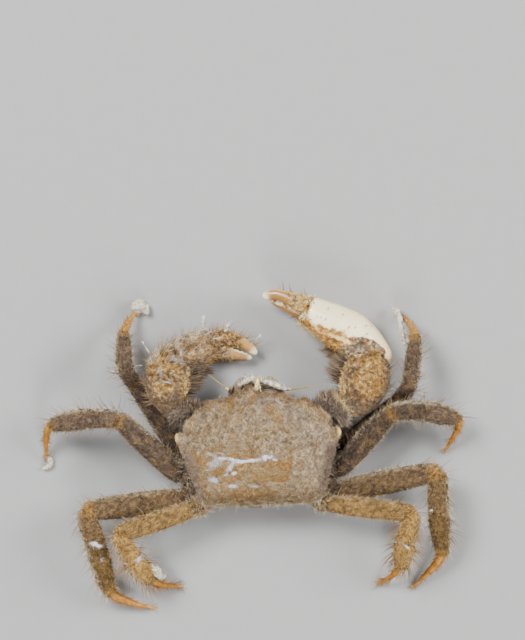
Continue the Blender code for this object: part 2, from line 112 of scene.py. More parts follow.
# Golden ground under them, in the same form.
OCHRE_PATCHES = [
    (-2.6, -2.4, 3.6, 1.7, -8, 0.75), (1.7, -2.3, 1.3, 1.5, -15, 0.7),
    (-5.2, -1.4, 1.5, 0.9, -45, 0.7), (-1.2, -4.4, 3.2, 0.7, 2, 0.6),
    (-0.4, 0.6, 2.2, 1.2, 20, 0.35), (-2.6, 3.2, 1.3, 1.1, 0, 0.45),
    (-4.8, 1.6, 1.4, 0.8, 20, 0.3), (1.9, 2.7, 1.4, 0.7, -55, 0.5),
    (5.6, 3.0, 1.0, 0.6, -45, 0.5), (4.2, -3.6, 1.4, 0.8, -10, 0.3),
]
# Rusty patches, in the same form.
RUSTY_PATCHES = [
    (-1.6, -1.02, 2.4, 0.16, -3, 1.0), (-3.9, -0.45, 1.3, 0.22, -22, 0.6),
    (-1.0, -0.6, 1.8, 0.25, 4, 0.5), (-5.6, -1.2, 1.2, 0.5, -35, 0.8),
    (-4.0, -2.3, 1.8, 0.35, -12, 0.85), (-5.2, -3.3, 0.8, 0.45, -30, 0.7),
    (-3.6, -3.5, 1.3, 0.4, -12, 0.6), (-1.9, -1.95, 0.9, 0.2, 10, 0.8),
    (0.3, -2.0, 1.3, 0.3, 0, 0.55), (1.7, -1.75, 1.0, 0.4, -10, 0.95),
    (2.75, -2.2, 0.42, 1.3, -14, 1.0), (1.9, -3.2, 0.7, 0.5, 0, 0.7),
    (-1.4, -4.2, 2.2, 0.4, 2, 0.6), (0.6, -2.9, 1.2, 0.4, 0, 0.4),
    (-1.5, -4.75, 2.6, 0.3, 0, 0.45), (-2.5, 3.95, 0.34, 0.3, 0, 1.0),
    (-0.35, 4.5, 0.28, 0.5, -10, 0.9), (-0.7, 3.9, 0.22, 0.9, -12, 0.55),
    (1.4, 2.9, 1.2, 0.36, -50, 0.7), (1.7, 3.2, 0.7, 0.3, -20, 0.5),
    (2.6, 4.5, 1.2, 0.25, -16, 0.6), (4.5, 4.1, 0.5, 0.35, -10, 0.8),
    (6.3, 2.3, 0.6, 0.3, -40, 0.4), (-6.2, 2.1, 0.7, 0.5, 40, 0.35),
]
# Paler grey ground on the back, in the same form.
GREY_PATCHES = [
    (1.3, 3.9, 1.5, 0.7, -10, 0.7), (3.2, 2.6, 1.6, 1.0, -20, 0.5),
    (-5.6, 2.2, 0.8, 0.7, 30, 0.5), (0.4, 2.4, 0.9, 1.1, 0, 0.35), (5.4, 0.6, 1.4, 1.2, 0, 0.45),
    (4.8, -2.6, 1.2, 1.0, 0, 0.4), (2.1, 0.6, 0.9, 0.3, 0, 0.4),
]

# The chest: half of its outline, then height, share, front, rear and flare of each level.
CHEST_OUTLINE = [
    (0.0, 5.3), (1.1, 5.25), (2.1, 4.95), (3.0, 4.1), (3.6, 3.2), (4.1, 2.2), (4.8, 1.1),
    (5.3, 0.0), (5.4, -1.5), (5.3, -3.0), (4.95, -4.4), (4.6, -5.3), (4.2, -5.5), (2.0, -5.5),
    (0.0, -5.5),
]
CHEST_COLUMNS = 180
CHEST_RINGS = 60
CHEST_FRONT = 5.3
CHEST_REAR = -5.5
CHEST_LEVELS = [
    (0.0, 0.7, 1.0, -4.5, 0.0), (0.4, 0.83, 1.5, -4.95, 0.0), (1.0, 0.92, 2.2, -5.3, 0.0),
    (2.0, 0.98, 3.6, -5.45, 0.0), (2.85, 1.0, 4.7, -5.5, 0.45), (3.3, 1.0, 5.1, -5.5, 1.15),
    (3.8, 1.0, 5.3, -5.5, 1.45),
]
CHEST_SIDES_FROM = -4.6
CHEST_SIDES_TO = 1.6
CHEST_FULLNESS = 0.6

# The abdomen: y, z and width from the rear of the shell to its tip under the belly.
ABDOMEN_SECTIONS = [
    (-5.62, 3.75, 3.3), (-5.68, 3.0, 3.5), (-5.68, 2.0, 3.5), (-5.58, 1.1, 3.3), (-5.1, 0.5, 3.1),
    (-4.3, 0.3, 2.7), (-3.0, 0.3, 2.3), (-1.5, 0.3, 2.1), (0.2, 0.3, 1.9), (0.9, 0.3, 1.5),
    (1.3, 0.3, 0.8),
]
ABDOMEN_DEPTH = 0.7
ABDOMEN_JOINTS = (1.4, 2.6, 3.7, 5.1, 6.1, 7.3)

# The outer mouthparts: x, y, z and width.
MOUTHPART_SECTIONS = [
    (1.28, 2.5, 0.45, 1.5), (1.3, 3.0, 0.8, 2.2), (1.33, 4.2, 1.75, 2.4), (1.3, 5.2, 2.65, 2.2),
    (1.1, 5.85, 3.2, 1.6), (0.85, 6.3, 3.45, 0.9),
]
MOUTHPART_DEPTH = 0.6
# The small parts that show before the shell: knots of x, y, z and thickness, and a colour.
FRONT_PARTS = [
    ([(-1.4, 5.72, 3.5, 0.22), (-0.95, 6.08, 3.72, 0.5),
      (-0.5, 6.3, 3.76, 0.54), (0.0, 6.36, 3.7, 0.22)], "bone"),
    ([(-0.85, 6.25, 3.7, 0.16), (-0.98, 6.55, 3.72, 0.13), (-1.1, 6.82, 3.7, 0.05)], "bone"),
    ([(-1.8, 5.4, 3.35, 0.3), (-1.5, 5.8, 3.5, 0.42), (-1.0, 6.15, 3.5, 0.3)], "grey"),
    ([(0.35, 6.14, 3.6, 0.3), (1.05, 5.92, 3.74, 0.56), (1.7, 5.66, 3.78, 0.58),
      (2.3, 5.34, 3.74, 0.5), (2.95, 5.1, 3.6, 0.2)], "bone"),
    ([(0.1, 5.1, 4.0, 0.22), (0.13, 5.7, 4.02, 0.26),
      (0.16, 6.15, 3.88, 0.36), (0.16, 6.42, 3.6, 0.2)], "yellow"),
    ([(0.18, 6.1, 3.9, 0.14), (0.32, 5.6, 4.04, 0.13), (0.44, 5.0, 4.15, 0.12)], "pale"),
    ([(0.12, 6.1, 3.9, 0.14), (-0.04, 5.6, 4.04, 0.13), (-0.15, 5.0, 4.15, 0.12)], "pale"),
]

EYE_PLACE = (3.5, 4.6, 3.42)
EYE_STALK = [(2.6, 4.1, 3.3), (3.0, 4.35, 3.36), (3.3, 4.5, 3.4)]
EYE_BALL = 0.36

FEELERS = {
    "antenna_left": [(-2.6, 5.25, 3.3), (-3.0, 5.56, 3.5), (-3.7, 6.15, 3.65), (-4.5, 6.82, 3.7)],
    "antenna_right": [(2.75, 5.15, 3.3), (3.4, 5.14, 3.55), (4.7, 5.25, 3.7), (6.3, 5.39, 3.8)],
}
FEELER_WIDTHS = (0.22, 0.18, 0.12, 0.06)
FEELER_RINGS = 90.0

# Walking legs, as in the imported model.
HIPS = {
    "p2": ((5.75, 0.1, 1.75), (7.5, -0.8, 1.95)),
    "p3": ((5.75, -1.95, 2.05), (7.4, -2.9, 2.3)),
    "p4": ((5.6, -3.95, 1.9), (7.0, -4.9, 2.15)),
    "p5": ((4.95, -5.2, 3.1), (6.3, -5.85, 3.4)),
}
SEGMENTS = ("coxa", "merus", "carpus", "propodus", "dactyl")
LEG_WIDTHS = {
    "p2": ((1.3, 1.6, 1.4), (1.5, 1.75, 1.6), (1.5, 1.7, 1.65), (1.65, 1.7, 1.35), (0.85, 0.75, 0.5)),
    "p3": ((1.4, 1.9, 1.6), (1.8, 2.3, 1.9), (1.65, 2.0, 2.1), (2.0, 2.1, 1.5), (0.9, 0.75, 0.5)),
    "p4": ((1.5, 2.0, 1.7), (1.9, 2.5, 2.2), (1.7, 2.15, 2.15), (2.15, 2.1, 1.55), (1.0, 0.8, 0.5)),
    "p5": ((1.2, 1.6, 1.4), (1.6, 2.05, 1.95), (1.65, 2.0, 1.95), (2.0, 2.1, 1.5), (0.9, 0.75, 0.5)),
}
LEG_DEPTH = (0.8, 0.62, 0.72, 0.7, 0.85)
LEG_BEND = 1.0
LEG_COLUMNS = 36
LEG_THINNEST = 0.028
BEND_LARGEST_SHARE = 0.45
BEND_STEPS = 9
DIRECTION_SPAN = 0.25
# Headings, reaches in plan and heights of a leg's four long pieces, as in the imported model.
LEG_POSES = {
    "p2_left": ((120.5, 115.9, 90.2, 53.1), (8.3, 1.6, 3.4, 3.0), (2.1, 4.5, 2.4, 0.2)),
    "p3_left": ((134.1, 177.3, 188.7, 262.5), (8.2, 3.0, 3.8, 3.6), (4.3, 4.1, 2.7, 0.2)),
    "p4_left": ((184.4, 285.3, 282.5, 340.3), (9.7, 3.8, 4.65, 4.7), (3.8, 3.5, 1.6, 0.2)),
    "p5_left": ((195.8, 298.0, 308.4, 348.2), (7.6, 3.1, 2.7, 2.85), (4.7, 4.2, 2.4, 0.2)),
    "p2_right": ((36.7, 61.2, 80.4, 127.3), (7.95, 1.4, 4.8, 2.5), (2.3, 4.5, 3.1, 0.2)),
    "p3_right": ((46.2, 0.5, -16.6, -120.6), (7.65, 3.05, 3.8, 3.7), (4.4, 4.2, 2.7, 0.2)),
    "p4_right": ((9.9, -90.8, -85.3, -135.4), (10.0, 3.8, 4.35, 4.55), (3.8, 3.5, 1.6, 0.2)),
    "p5_right": ((-8.0, -107.9, -99.9, -145.6), (8.2, 3.0, 2.5, 2.85), (4.7, 4.2, 2.4, 0.2)),
}
# How far a plate reaches into the plate before it, and past its own joint.
PLATE_INSET = 0.18
PLATE_REACH = 0.1
TIP_WIDTH = {"p2": 0.8, "p3": 0.82, "p4": 0.95, "p5": 0.82}
# Bare bluish spots near the joint before the propodus, as on the shell.
LEG_WORN = {
    "p4_left": [(-15.7, -8.85, 0.55, 0.2, -20, 1.0), (-15.2, -10.3, 0.3, 0.12, 60, 0.7)],
    "p5_left": [(-11.75, -10.5, 0.36, 0.17, 55, 1.0)],
    "p5_right": [(13.55, -10.05, 0.5, 0.07, -42, 0.9)],
    "p4_right": [(15.6, -6.95, 0.3, 0.12, 0, 0.9)],
}
# Each pair's coat from the coxa to the propodus: how far it goes from purple brown to ochre,
# and how bright it is.
LEG_LOOK = {
    "p2": ((0.0, 0.7), (0.02, 0.5), (0.08, 0.78), (0.1, 0.95)),
    "p3": ((0.0, 0.9), (0.04, 0.9), (0.08, 1.05), (0.08, 1.15)),
    "p4": ((0.1, 1.05), (0.28, 0.92), (0.45, 0.8), (0.72, 0.62)),
    "p5": ((0.5, 0.95), (0.8, 0.92), (1.0, 1.12), (1.0, 1.15)),
}
# How strongly each pair's knees are coloured, and how frosted its plates are.
KNEE_COLOUR = {"p2": 0.3, "p3": 0.55, "p4": 0.85, "p5": 0.5}
FROST = {
    "p2": (0.0, 0.3, 0.4, 0.5),
    "p3": (0.0, 0.35, 0.8, 0.85),
    "p4": (0.0, 0.4, 0.7, 0.75),
    "p5": (0.0, 0.3, 0.5, 0.55),
}

# Claw arms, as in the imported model: x, y, z, heading, pitch, width and depth.
CLAWS = {
    "right": {
        "coxa": [
            (4.5, 2.3, 1.9, 35, 0, 1.5, 1.5),
            (5.2, 2.75, 2.2, 28, 0, 1.8, 1.8),
            (5.8, 3.05, 2.4, 20, 0, 1.7, 1.7),
        ],
        "merus": [
            (5.95, 3.1, 2.5, 14, 0, 2.0, 1.9), (6.8, 3.28, 2.75, 6, 0, 2.8, 2.4),
            (7.5, 3.2, 2.95, 0, 0, 3.0, 2.5), (8.1, 3.05, 3.05, -6, 0, 2.6, 2.2),
        ],
        "carpus": [
            (9.35, 2.6, 3.2, 72, 0, 1.3, 1.4), (9.5, 3.05, 3.25, 70, 0, 2.2, 2.2),
            (9.8, 3.8, 3.3, 72, 0, 3.4, 3.0), (10.1, 4.6, 3.35, 78, 0, 4.3, 3.6),
            (10.3, 5.4, 3.3, 84, -8, 4.7, 3.8), (10.35, 6.2, 3.2, 88, -22, 4.9, 3.8),
            (10.4, 7.0, 2.95, 95, -38, 4.6, 3.6),
        ],
        "palm": [
            (10.45, 7.2, 2.75, 96, -38, 4.3, 3.3), (10.7, 7.85, 2.35, 103, -26, 4.6, 4.0),
            (10.2, 8.85, 2.1, 118, -10, 4.4, 4.3), (9.1, 10.1, 2.1, 136, 0, 4.4, 4.4),
            (7.65, 11.0, 2.05, 148, 0, 4.1, 4.3), (6.2, 11.85, 2.0, 151, 0, 3.5, 3.8),
            (5.1, 12.45, 1.95, 152, 0, 2.9, 3.1), (4.95, 12.4, 1.15, 152, 0, 2.0, 1.4),
            (3.9, 12.87, 1.15, 155, 0, 1.6, 1.25), (3.0, 13.22, 1.25, 155, 0, 1.25, 1.0),
            (2.1, 13.55, 1.4, 155, 0, 0.9, 0.75), (1.5, 13.8, 1.55, 155, 0, 0.5, 0.5),
        ],
        "finger": [
            (4.8, 13.0, 2.72, 152, 0, 1.8, 1.45), (4.0, 13.45, 2.7, 154, 0, 1.5, 1.35),
            (3.1, 13.88, 2.6, 160, 0, 1.2, 1.15), (2.15, 14.15, 2.45, 176, 0, 1.02, 0.95),
            (1.4, 14.1, 2.3, 205, 0, 0.9, 0.8), (1.0, 13.85, 2.15, 228, 0, 0.62, 0.55),
        ],
    },
    "left": {
        "coxa": [
            (-4.5, 2.3, 1.9, 145, 0, 1.5, 1.5),
            (-5.2, 2.75, 2.2, 152, 0, 1.8, 1.8),
            (-5.8, 3.05, 2.4, 160, 0, 1.7, 1.7),
        ],
        "merus": [
            (-5.95, 3.1, 2.5, 160, 0, 1.8, 1.9), (-6.6, 3.38, 2.75, 168, 0, 2.2, 2.3),
            (-7.1, 3.45, 2.9, 168, 0, 2.3, 2.3), (-7.55, 3.45, 3.05, 160, 0, 2.0, 2.1),
        ],
        "carpus": [
            (-8.45, 3.5, 3.3, 120, 0, 1.3, 1.5), (-8.4, 4.15, 3.45, 108, 0, 2.3, 2.4),
            (-8.4, 4.9, 3.6, 100, 0, 3.5, 3.0), (-8.4, 5.75, 3.5, 94, -12, 4.2, 3.3),
            (-8.35, 6.55, 3.25, 90, -26, 4.7, 3.3), (-8.25, 7.15, 2.95, 84, -38, 4.7, 3.1),
        ],
        "palm": [
            (-8.15, 7.35, 2.7, 80, -38, 4.5, 2.9), (-7.8, 7.95, 2.15, 64, -26, 4.4, 3.0),
            (-7.1, 8.45, 1.75, 48, -10, 4.1, 3.1), (-6.2, 8.9, 1.6, 36, 0, 3.9, 3.1),
            (-5.2, 9.25, 1.5, 24, 0, 3.6, 2.9), (-4.3, 9.5, 1.4, 14, 0, 3.2, 2.5),
            (-3.75, 9.55, 1.35, 8, 0, 2.9, 2.2), (-3.6, 8.8, 1.3, 6, 0, 1.3, 1.5),
            (-2.6, 8.68, 1.25, -6, 0, 1.25, 1.2), (-1.7, 8.46, 1.2, -10, 0, 1.0, 1.0),
            (-0.95, 8.3, 1.15, -10, 0, 0.75, 0.8), (-0.4, 8.18, 1.15, -10, 0, 0.5, 0.5),
        ],
        "finger": [
            (-3.5, 10.25, 1.4, 0, 0, 1.3, 1.6), (-2.6, 10.15, 1.4, -8, 0, 1.3, 1.3),
            (-1.65, 9.9, 1.35, -20, 0, 1.15, 1.1), (-0.8, 9.45, 1.3, -38, 0, 1.0, 0.95),
            (-0.2, 8.92, 1.3, -58, 0, 0.82, 0.75), (0.05, 8.45, 1.3, -80, 0, 0.52, 0.5),
        ],
    },
}
# Width of the bare band at each palm section of the large claw, from the outer edge inwards.
BARE_BAND = (0.1, 0.6, 1.2, 2.2, 2.2, 2.25, 1.9, 2.0, 1.6, 1.25, 0.9, 0.5)
# How far each piece reaches past its first and last sections, into its neighbours.
CLAW_REACH = {
    "coxa": (0.0, 0.3),
    "merus": (0.25, 0.8),
    "carpus": (0.2, 0.35),
    "palm": (0.35, 0.0),
    "finger": (0.35, 0.0),
}
# How long their rounded ends are.
CLAW_CAPS = {"coxa": 0.4, "merus": 0.4, "carpus": 0.4, "palm": 0.35, "finger": 0.28}
CLAW_THINNEST = 0.1


# Small tools for arrays


def unit(vectors):
    return vectors / np.maximum(np.linalg.norm(vectors, axis=-1, keepdims=True), TINY)


def eased(values, low, high):
    """Rises smoothly from 0 at low to 1 at high: three times the square less twice the cube."""
    share = np.clip((values - low) / (high - low), 0.0, 1.0)
    return share * share * (3.0 - 2.0 * share)


def mix(first, second, share):
    """Goes from the first colour to the second, point by point."""
    share = np.asarray(share)[..., None]
    return np.asarray(first) * (1.0 - share) + np.asarray(second) * share


# Large odd numbers that scramble places, and how far apart two clouds of one size are taken.
PLACE_MIXER = np.array((73856093, 19349663, 83492791))
LAST_MIXER = 1274126177
SEED_STEP = 17.31


def hashed(corners):
    """A fixed number from 0 to 1 for each whole-numbered place."""
    mixed = corners @ PLACE_MIXER
    mixed = (mixed ^ (mixed >> 13)) * LAST_MIXER
    return ((mixed ^ (mixed >> 16)) & 0xFFFF) / 65535.0


def cloud(places, size, seed):
    """Soft random values from 0 to 1, with lumps of a given size.

    Numbers are fixed at the corners of a lattice of cubes. Inside a cube they blend along
    each axis with the weight three times the square less twice the cube.
    """
    cells = places / size + SEED_STEP * seed
    corner = np.floor(cells).astype(np.int64)
    part = cells - corner
    part = part * part * (3.0 - 2.0 * part)
    total = np.zeros(places.shape[:-1])
    for step in np.ndindex(2, 2, 2):
        weight = np.prod(np.where(np.array(step) == 1, part, 1.0 - part), axis=-1)
        total += weight * hashed(corner + np.array(step))
    return total


def smooth_through(values, at):
    """Cubic pieces through a row of values, one apart, that never overshoot.

    The slope at each value is the harmonic mean of the steps beside it, or zero at a turn.
    """
    values = np.asarray(values, float)
    step = np.diff(values, axis=0)
    before, after = step[:-1], step[1:]
    agree = before * after > 0.0
    slope = np.zeros_like(values)
    slope[1:-1] = np.where(agree, 2.0 * before * after / np.where(agree, before + after, 1.0), 0.0)
    slope[0], slope[-1] = step[0], step[-1]
    cell = np.clip(np.floor(at).astype(int), 0, len(values) - 2)
    t = (at - cell).reshape((-1,) + (1,) * (values.ndim - 1))
    return (
        values[cell] * (1.0 + 2.0 * t) * (1.0 - t) ** 2
        + slope[cell] * t * (1.0 - t) ** 2
        + values[cell + 1] * t * t * (3.0 - 2.0 * t)
        - slope[cell + 1] * t * t * (1.0 - t)
    )


def smooth_loop(points, count):
    """A closed curve through the points, whose slope at each is half the step past it."""
    points = np.asarray(points, float)
    at = np.linspace(0.0, len(points), count, endpoint=False)
    cell = np.floor(at).astype(int)
    t = (at - cell)[:, None]
    total = len(points)
    before, here = points[cell - 1], points[cell]
    there, after = points[(cell + 1) % total], points[(cell + 2) % total]
    return 0.5 * (
        2.0 * here
        + (there - before) * t
        + (2.0 * before - 5.0 * here + 4.0 * there - after) * t**2
        + (3.0 * here - before - 3.0 * there + after) * t**3
    )


def both_sides(half):
    """A whole outline from its right half, which starts and ends on the middle line."""
    right = np.array(half, float)
    left = right[-2:0:-1] * (-1.0, 1.0)
    return np.concatenate([right, left])


def grainy(tint, places, size, seed, pale, dark, amount):
    """Scatters pale and dark grains of a size over a colour."""
    value = cloud(places, size, seed)
    tint = mix(tint, pale, amount * eased(value, 0.56, 0.8))
    return mix(tint, dark, amount * (1.0 - eased(value, 0.2, 0.44)))


def speckled(tint, places, size, seed, amount):
    """Brightens and darkens a colour in grains of a size, by up to the amount."""
    value = 2.0 * eased(cloud(places, size, seed), 0.25, 0.75) - 1.0
    return tint * (1.0 + amount * value)[..., None]


def signed_power(values, power):
    return np.sign(values) * np.abs(values) ** power


def way_along(points):
    """How far along a row of points each of them is."""
    return np.concatenate([[0.0], np.cumsum(np.linalg.norm(np.diff(points, axis=0), axis=1))])


def end_weighted(rows):
    """Shares from 0 to 1 that lie closer together near both ends."""
    even = np.linspace(0.0, 1.0, rows)
    return 0.35 * even + 0.65 * (0.5 - 0.5 * np.cos(math.pi * even))


def patches(places, ellipses, soft=0.55):
    """How far inside any of the level ellipses each place is, with ragged edges, from 0 to 1."""
    ragged = 1.1 * (cloud(places, 0.42, 5) - 0.5) + 0.8 * (cloud(places, 0.17, 6) - 0.5)
    total = np.zeros(places.shape[:-1])
    for x, y, length, width, turn, strength in ellipses:
        angle = math.radians(turn)
        east = places[..., 0] - x
        north = places[..., 1] - y
        ahead = (east * math.cos(angle) + north * math.sin(angle)) / length
        aside = (north * math.cos(angle) - east * math.sin(angle)) / width
        distance = np.sqrt(ahead**2 + aside**2) + ragged
        inside = 1.0 - eased(distance, 0.98 - 0.5 * soft, 0.98 + 0.5 * soft)
        total = np.maximum(total, strength * inside)
    return total


# Skins

SKIN_CLEARANCE = 0.02


class Skin:
    """A closed surface as a grid of points. Its first and last rows are each one point."""

    def __init__(self, points, columns_from=0.0):
        self.points = np.asarray(points, float)
        rows, columns = self.points.shape[:2]
        self.share = np.linspace(0.0, 1.0, rows)[:, None] * np.ones((1, columns))
        turn = columns_from + np.linspace(0.0, FULL_TURN, columns, endpoint=False)
        self.turn = turn[None, :] * np.ones((rows, 1))
        self.tint = np.ones(self.points.shape)
        self.band = (0.0, 1.0)
        self.finish = 0
        self.close()

    def close(self):
        """Draws each end together into one point and keeps the skin off the floor."""
        for pole in (0, -1):
            self.points[pole] = self.points[pole].mean(axis=0)
        self.points[..., 2] = np.maximum(self.points[..., 2], SKIN_CLEARANCE)

    def along(self):
        return np.gradient(self.points, axis=0)

    def normals(self):
        """The cross product of the slope along the rows and the slope round the columns."""
        around = np.roll(self.points, -1, axis=1) - np.roll(self.points, 1, axis=1)
        found = np.cross(self.along(), around)
        found[0] = found[1].mean(axis=0)
        found[-1] = found[-2].mean(axis=0)
        return unit(found)

    def push(self, amount):
        """Moves each point out along its normal."""
        self.points = self.points + self.normals() * amount[..., None]
        self.close()

    def length(self):
        return np.linalg.norm(np.diff(self.points.mean(axis=1), axis=0), axis=1).sum()


def arrange(skins):
    """Gives each skin a band of the unwrap, as tall as its share of the whole length."""
    lengths = np.array([max(skin.length(), 0.3) for skin in skins])
    edges = np.concatenate([[0.0], np.cumsum(lengths / lengths.sum())])
    for skin, low, high in zip(skins, edges[:-1], edges[1:]):
        skin.band = (low, high)


def ring_points(centres, directions, half_widths, half_depths, columns, squareness=2.0):
    """Rings across a path.

    Each ring is a rounded square between an ellipse (squareness 2) and a box: the cosine and
    the sine of the turn, each to the power 2 over the squareness, along its level axis and
    the axis square to that.
    """
    directions = unit(directions)
    across = unit(np.cross(directions, UP))
    upward = np.cross(across, directions)
    turn = np.linspace(0.0, FULL_TURN, columns, endpoint=False)
    power = 2.0 / squareness
    east = signed_power(np.cos(turn), power)
    north = signed_power(np.sin(turn), power)
    return (
        centres[:, None, :]
        + (half_widths[:, None] * east)[..., None] * across[:, None, :]
        + (half_depths[:, None] * north)[..., None] * upward[:, None, :]
    )


def dome(distance, total, cap):
    """A scale that rounds both ends: the root of 1 less the square of the way into the cap."""
    near = np.minimum(distance, total - distance)
    into = 1.0 - np.clip(near / cap, 0.0, 1.0)
    return np.sqrt(np.maximum(1.0 - into**2, 0.0))


def sausage(knots, rows, columns, cap=None):
    """A tube with round ends through knots of x, y, z and thickness."""
    knots = np.array(knots, float)
    path = smooth_through(knots, end_weighted(rows) * (len(knots) - 1))
    centres, half = path[:, :3], 0.5 * path[:, 3]
    run = way_along(centres)
    scale = dome(run, run[-1], cap or max(half.max(), 0.02))
    directions = np.gradient(centres, axis=0)
    return Skin(ring_points(centres, directions, half * scale, half * scale, columns))


# Hairs


def sample(grid, row, column):
    """Values between a grid's points, blended from the four corners of each cell."""
    low = np.clip(np.floor(row).astype(int), 0, len(grid) - 2)
    left = np.floor(column).astype(int)
    s = (row - low)[:, None]
    t = (column - left)[:, None]
    columns = grid.shape[1]
    near = grid[low, left % columns] * (1.0 - t) + grid[low, (left + 1) % columns] * t
    far = grid[low + 1, left % columns] * (1.0 - t) + grid[low + 1, (left + 1) % columns] * t
    return near * (1.0 - s) + far * s


# A trace of a fixed direction, so that the lie never vanishes.
LIE_TRACE = 1e-4 * np.array((0.3, 0.5, 0.2))


class Roots:
    """Where hairs leave a skin: places, normals, the lie of the coat, colours and unwrap."""

    def __init__(self, skin, row, column, lie=None):
        rows, columns = skin.points.shape[:2]
        self.place = sample(skin.points, row, column)
        self.normal = unit(sample(skin.normals(), row, column))
        flow = sample(skin.along(), row, column) if lie is None else np.array(lie, float)
        flow = flow * np.ones_like(self.place) + LIE_TRACE
        inward = np.sum(flow * self.normal, axis=1, keepdims=True)
        self.lie = unit(flow - inward * self.normal)
        self.tint = sample(skin.tint, row, column)
        self.share = row / (rows - 1)
        low, high = skin.band
        self.spot = np.column_stack([column / columns, low + (high - low) * self.share])

    def __len__(self):
        return len(self.place)


def scattered(skin, density, rng, keep=None, lie=None):
    """Roots spread evenly over a skin, so many for each square millimetre.

    A cell's chance is its area, half the cross product of its diagonals, times the share of
    hairs kept at its corner.
    """
    here = skin.points
    next_to = np.roll(here, -1, axis=1)
    area = 0.5 * np.linalg.norm(np.cross(next_to[1:] - here[:-1], here[1:] - next_to[:-1]), axis=-1)
    if keep is not None:
        area = area * keep[:-1]
    count = rng.poisson(density * area.sum())
    if count == 0:
        return Roots(skin, np.zeros(0), np.zeros(0), lie)
    cell = rng.choice(area.size, size=count, p=area.ravel() / area.sum())
    columns = area.shape[1]
    row = cell // columns + rng.random(count)
    column = cell % columns + rng.random(count)
    return Roots(skin, row, column, lie)


def swirled(roots, size, seed):
    """Turns the lie of each hair by an angle that changes softly from place to place."""
    angle = 2.0 * FULL_TURN * cloud(roots.place, size, seed)[:, None]
    aside = np.cross(roots.normal, roots.lie)
    roots.lie = roots.lie * np.cos(angle) + aside * np.sin(angle)
    return roots


def in_rows(skin, turns, count, rng, spread=0.25, start=0.0, end=1.0):
    """Roots along lines on a skin at the given turns, with a little scatter."""
    rows, columns = skin.points.shape[:2]
    share = rng.uniform(start, end, count)
    turn = rng.choice(turns, count) + rng.normal(0.0, spread, count)
    column = (turn - skin.turn[0, 0]) / FULL_TURN * columns
    return Roots(skin, share * (rows - 1), column % columns)


# How hairs of one kind look: lengths and widths in millimetres, angles in degrees, and how bright
# they are at the root and at the tip.
# The darker roots are painted shade among the tufts; the paler tips are the hairs' own tone.
Hair = namedtuple(
    "Hair", "length width lift sweep curve joints sides root tip", defaults=(0.0, 1, 3, 0.7, 1.2)
)

# The side of a hair's patch in the unwrap, how deep it is rooted and how low it may hang.
PATCH = 0.003
HAIR_SINK = 0.03
FLOOR_CLEARANCE = 0.01


def corners_of(pairs, axis):
    """Stacks the corners of faces in the unwrap, each given by its two coordinates."""
    return np.stack([np.stack(np.broadcast_arrays(u, v), axis=-1) for u, v in pairs], axis=axis)


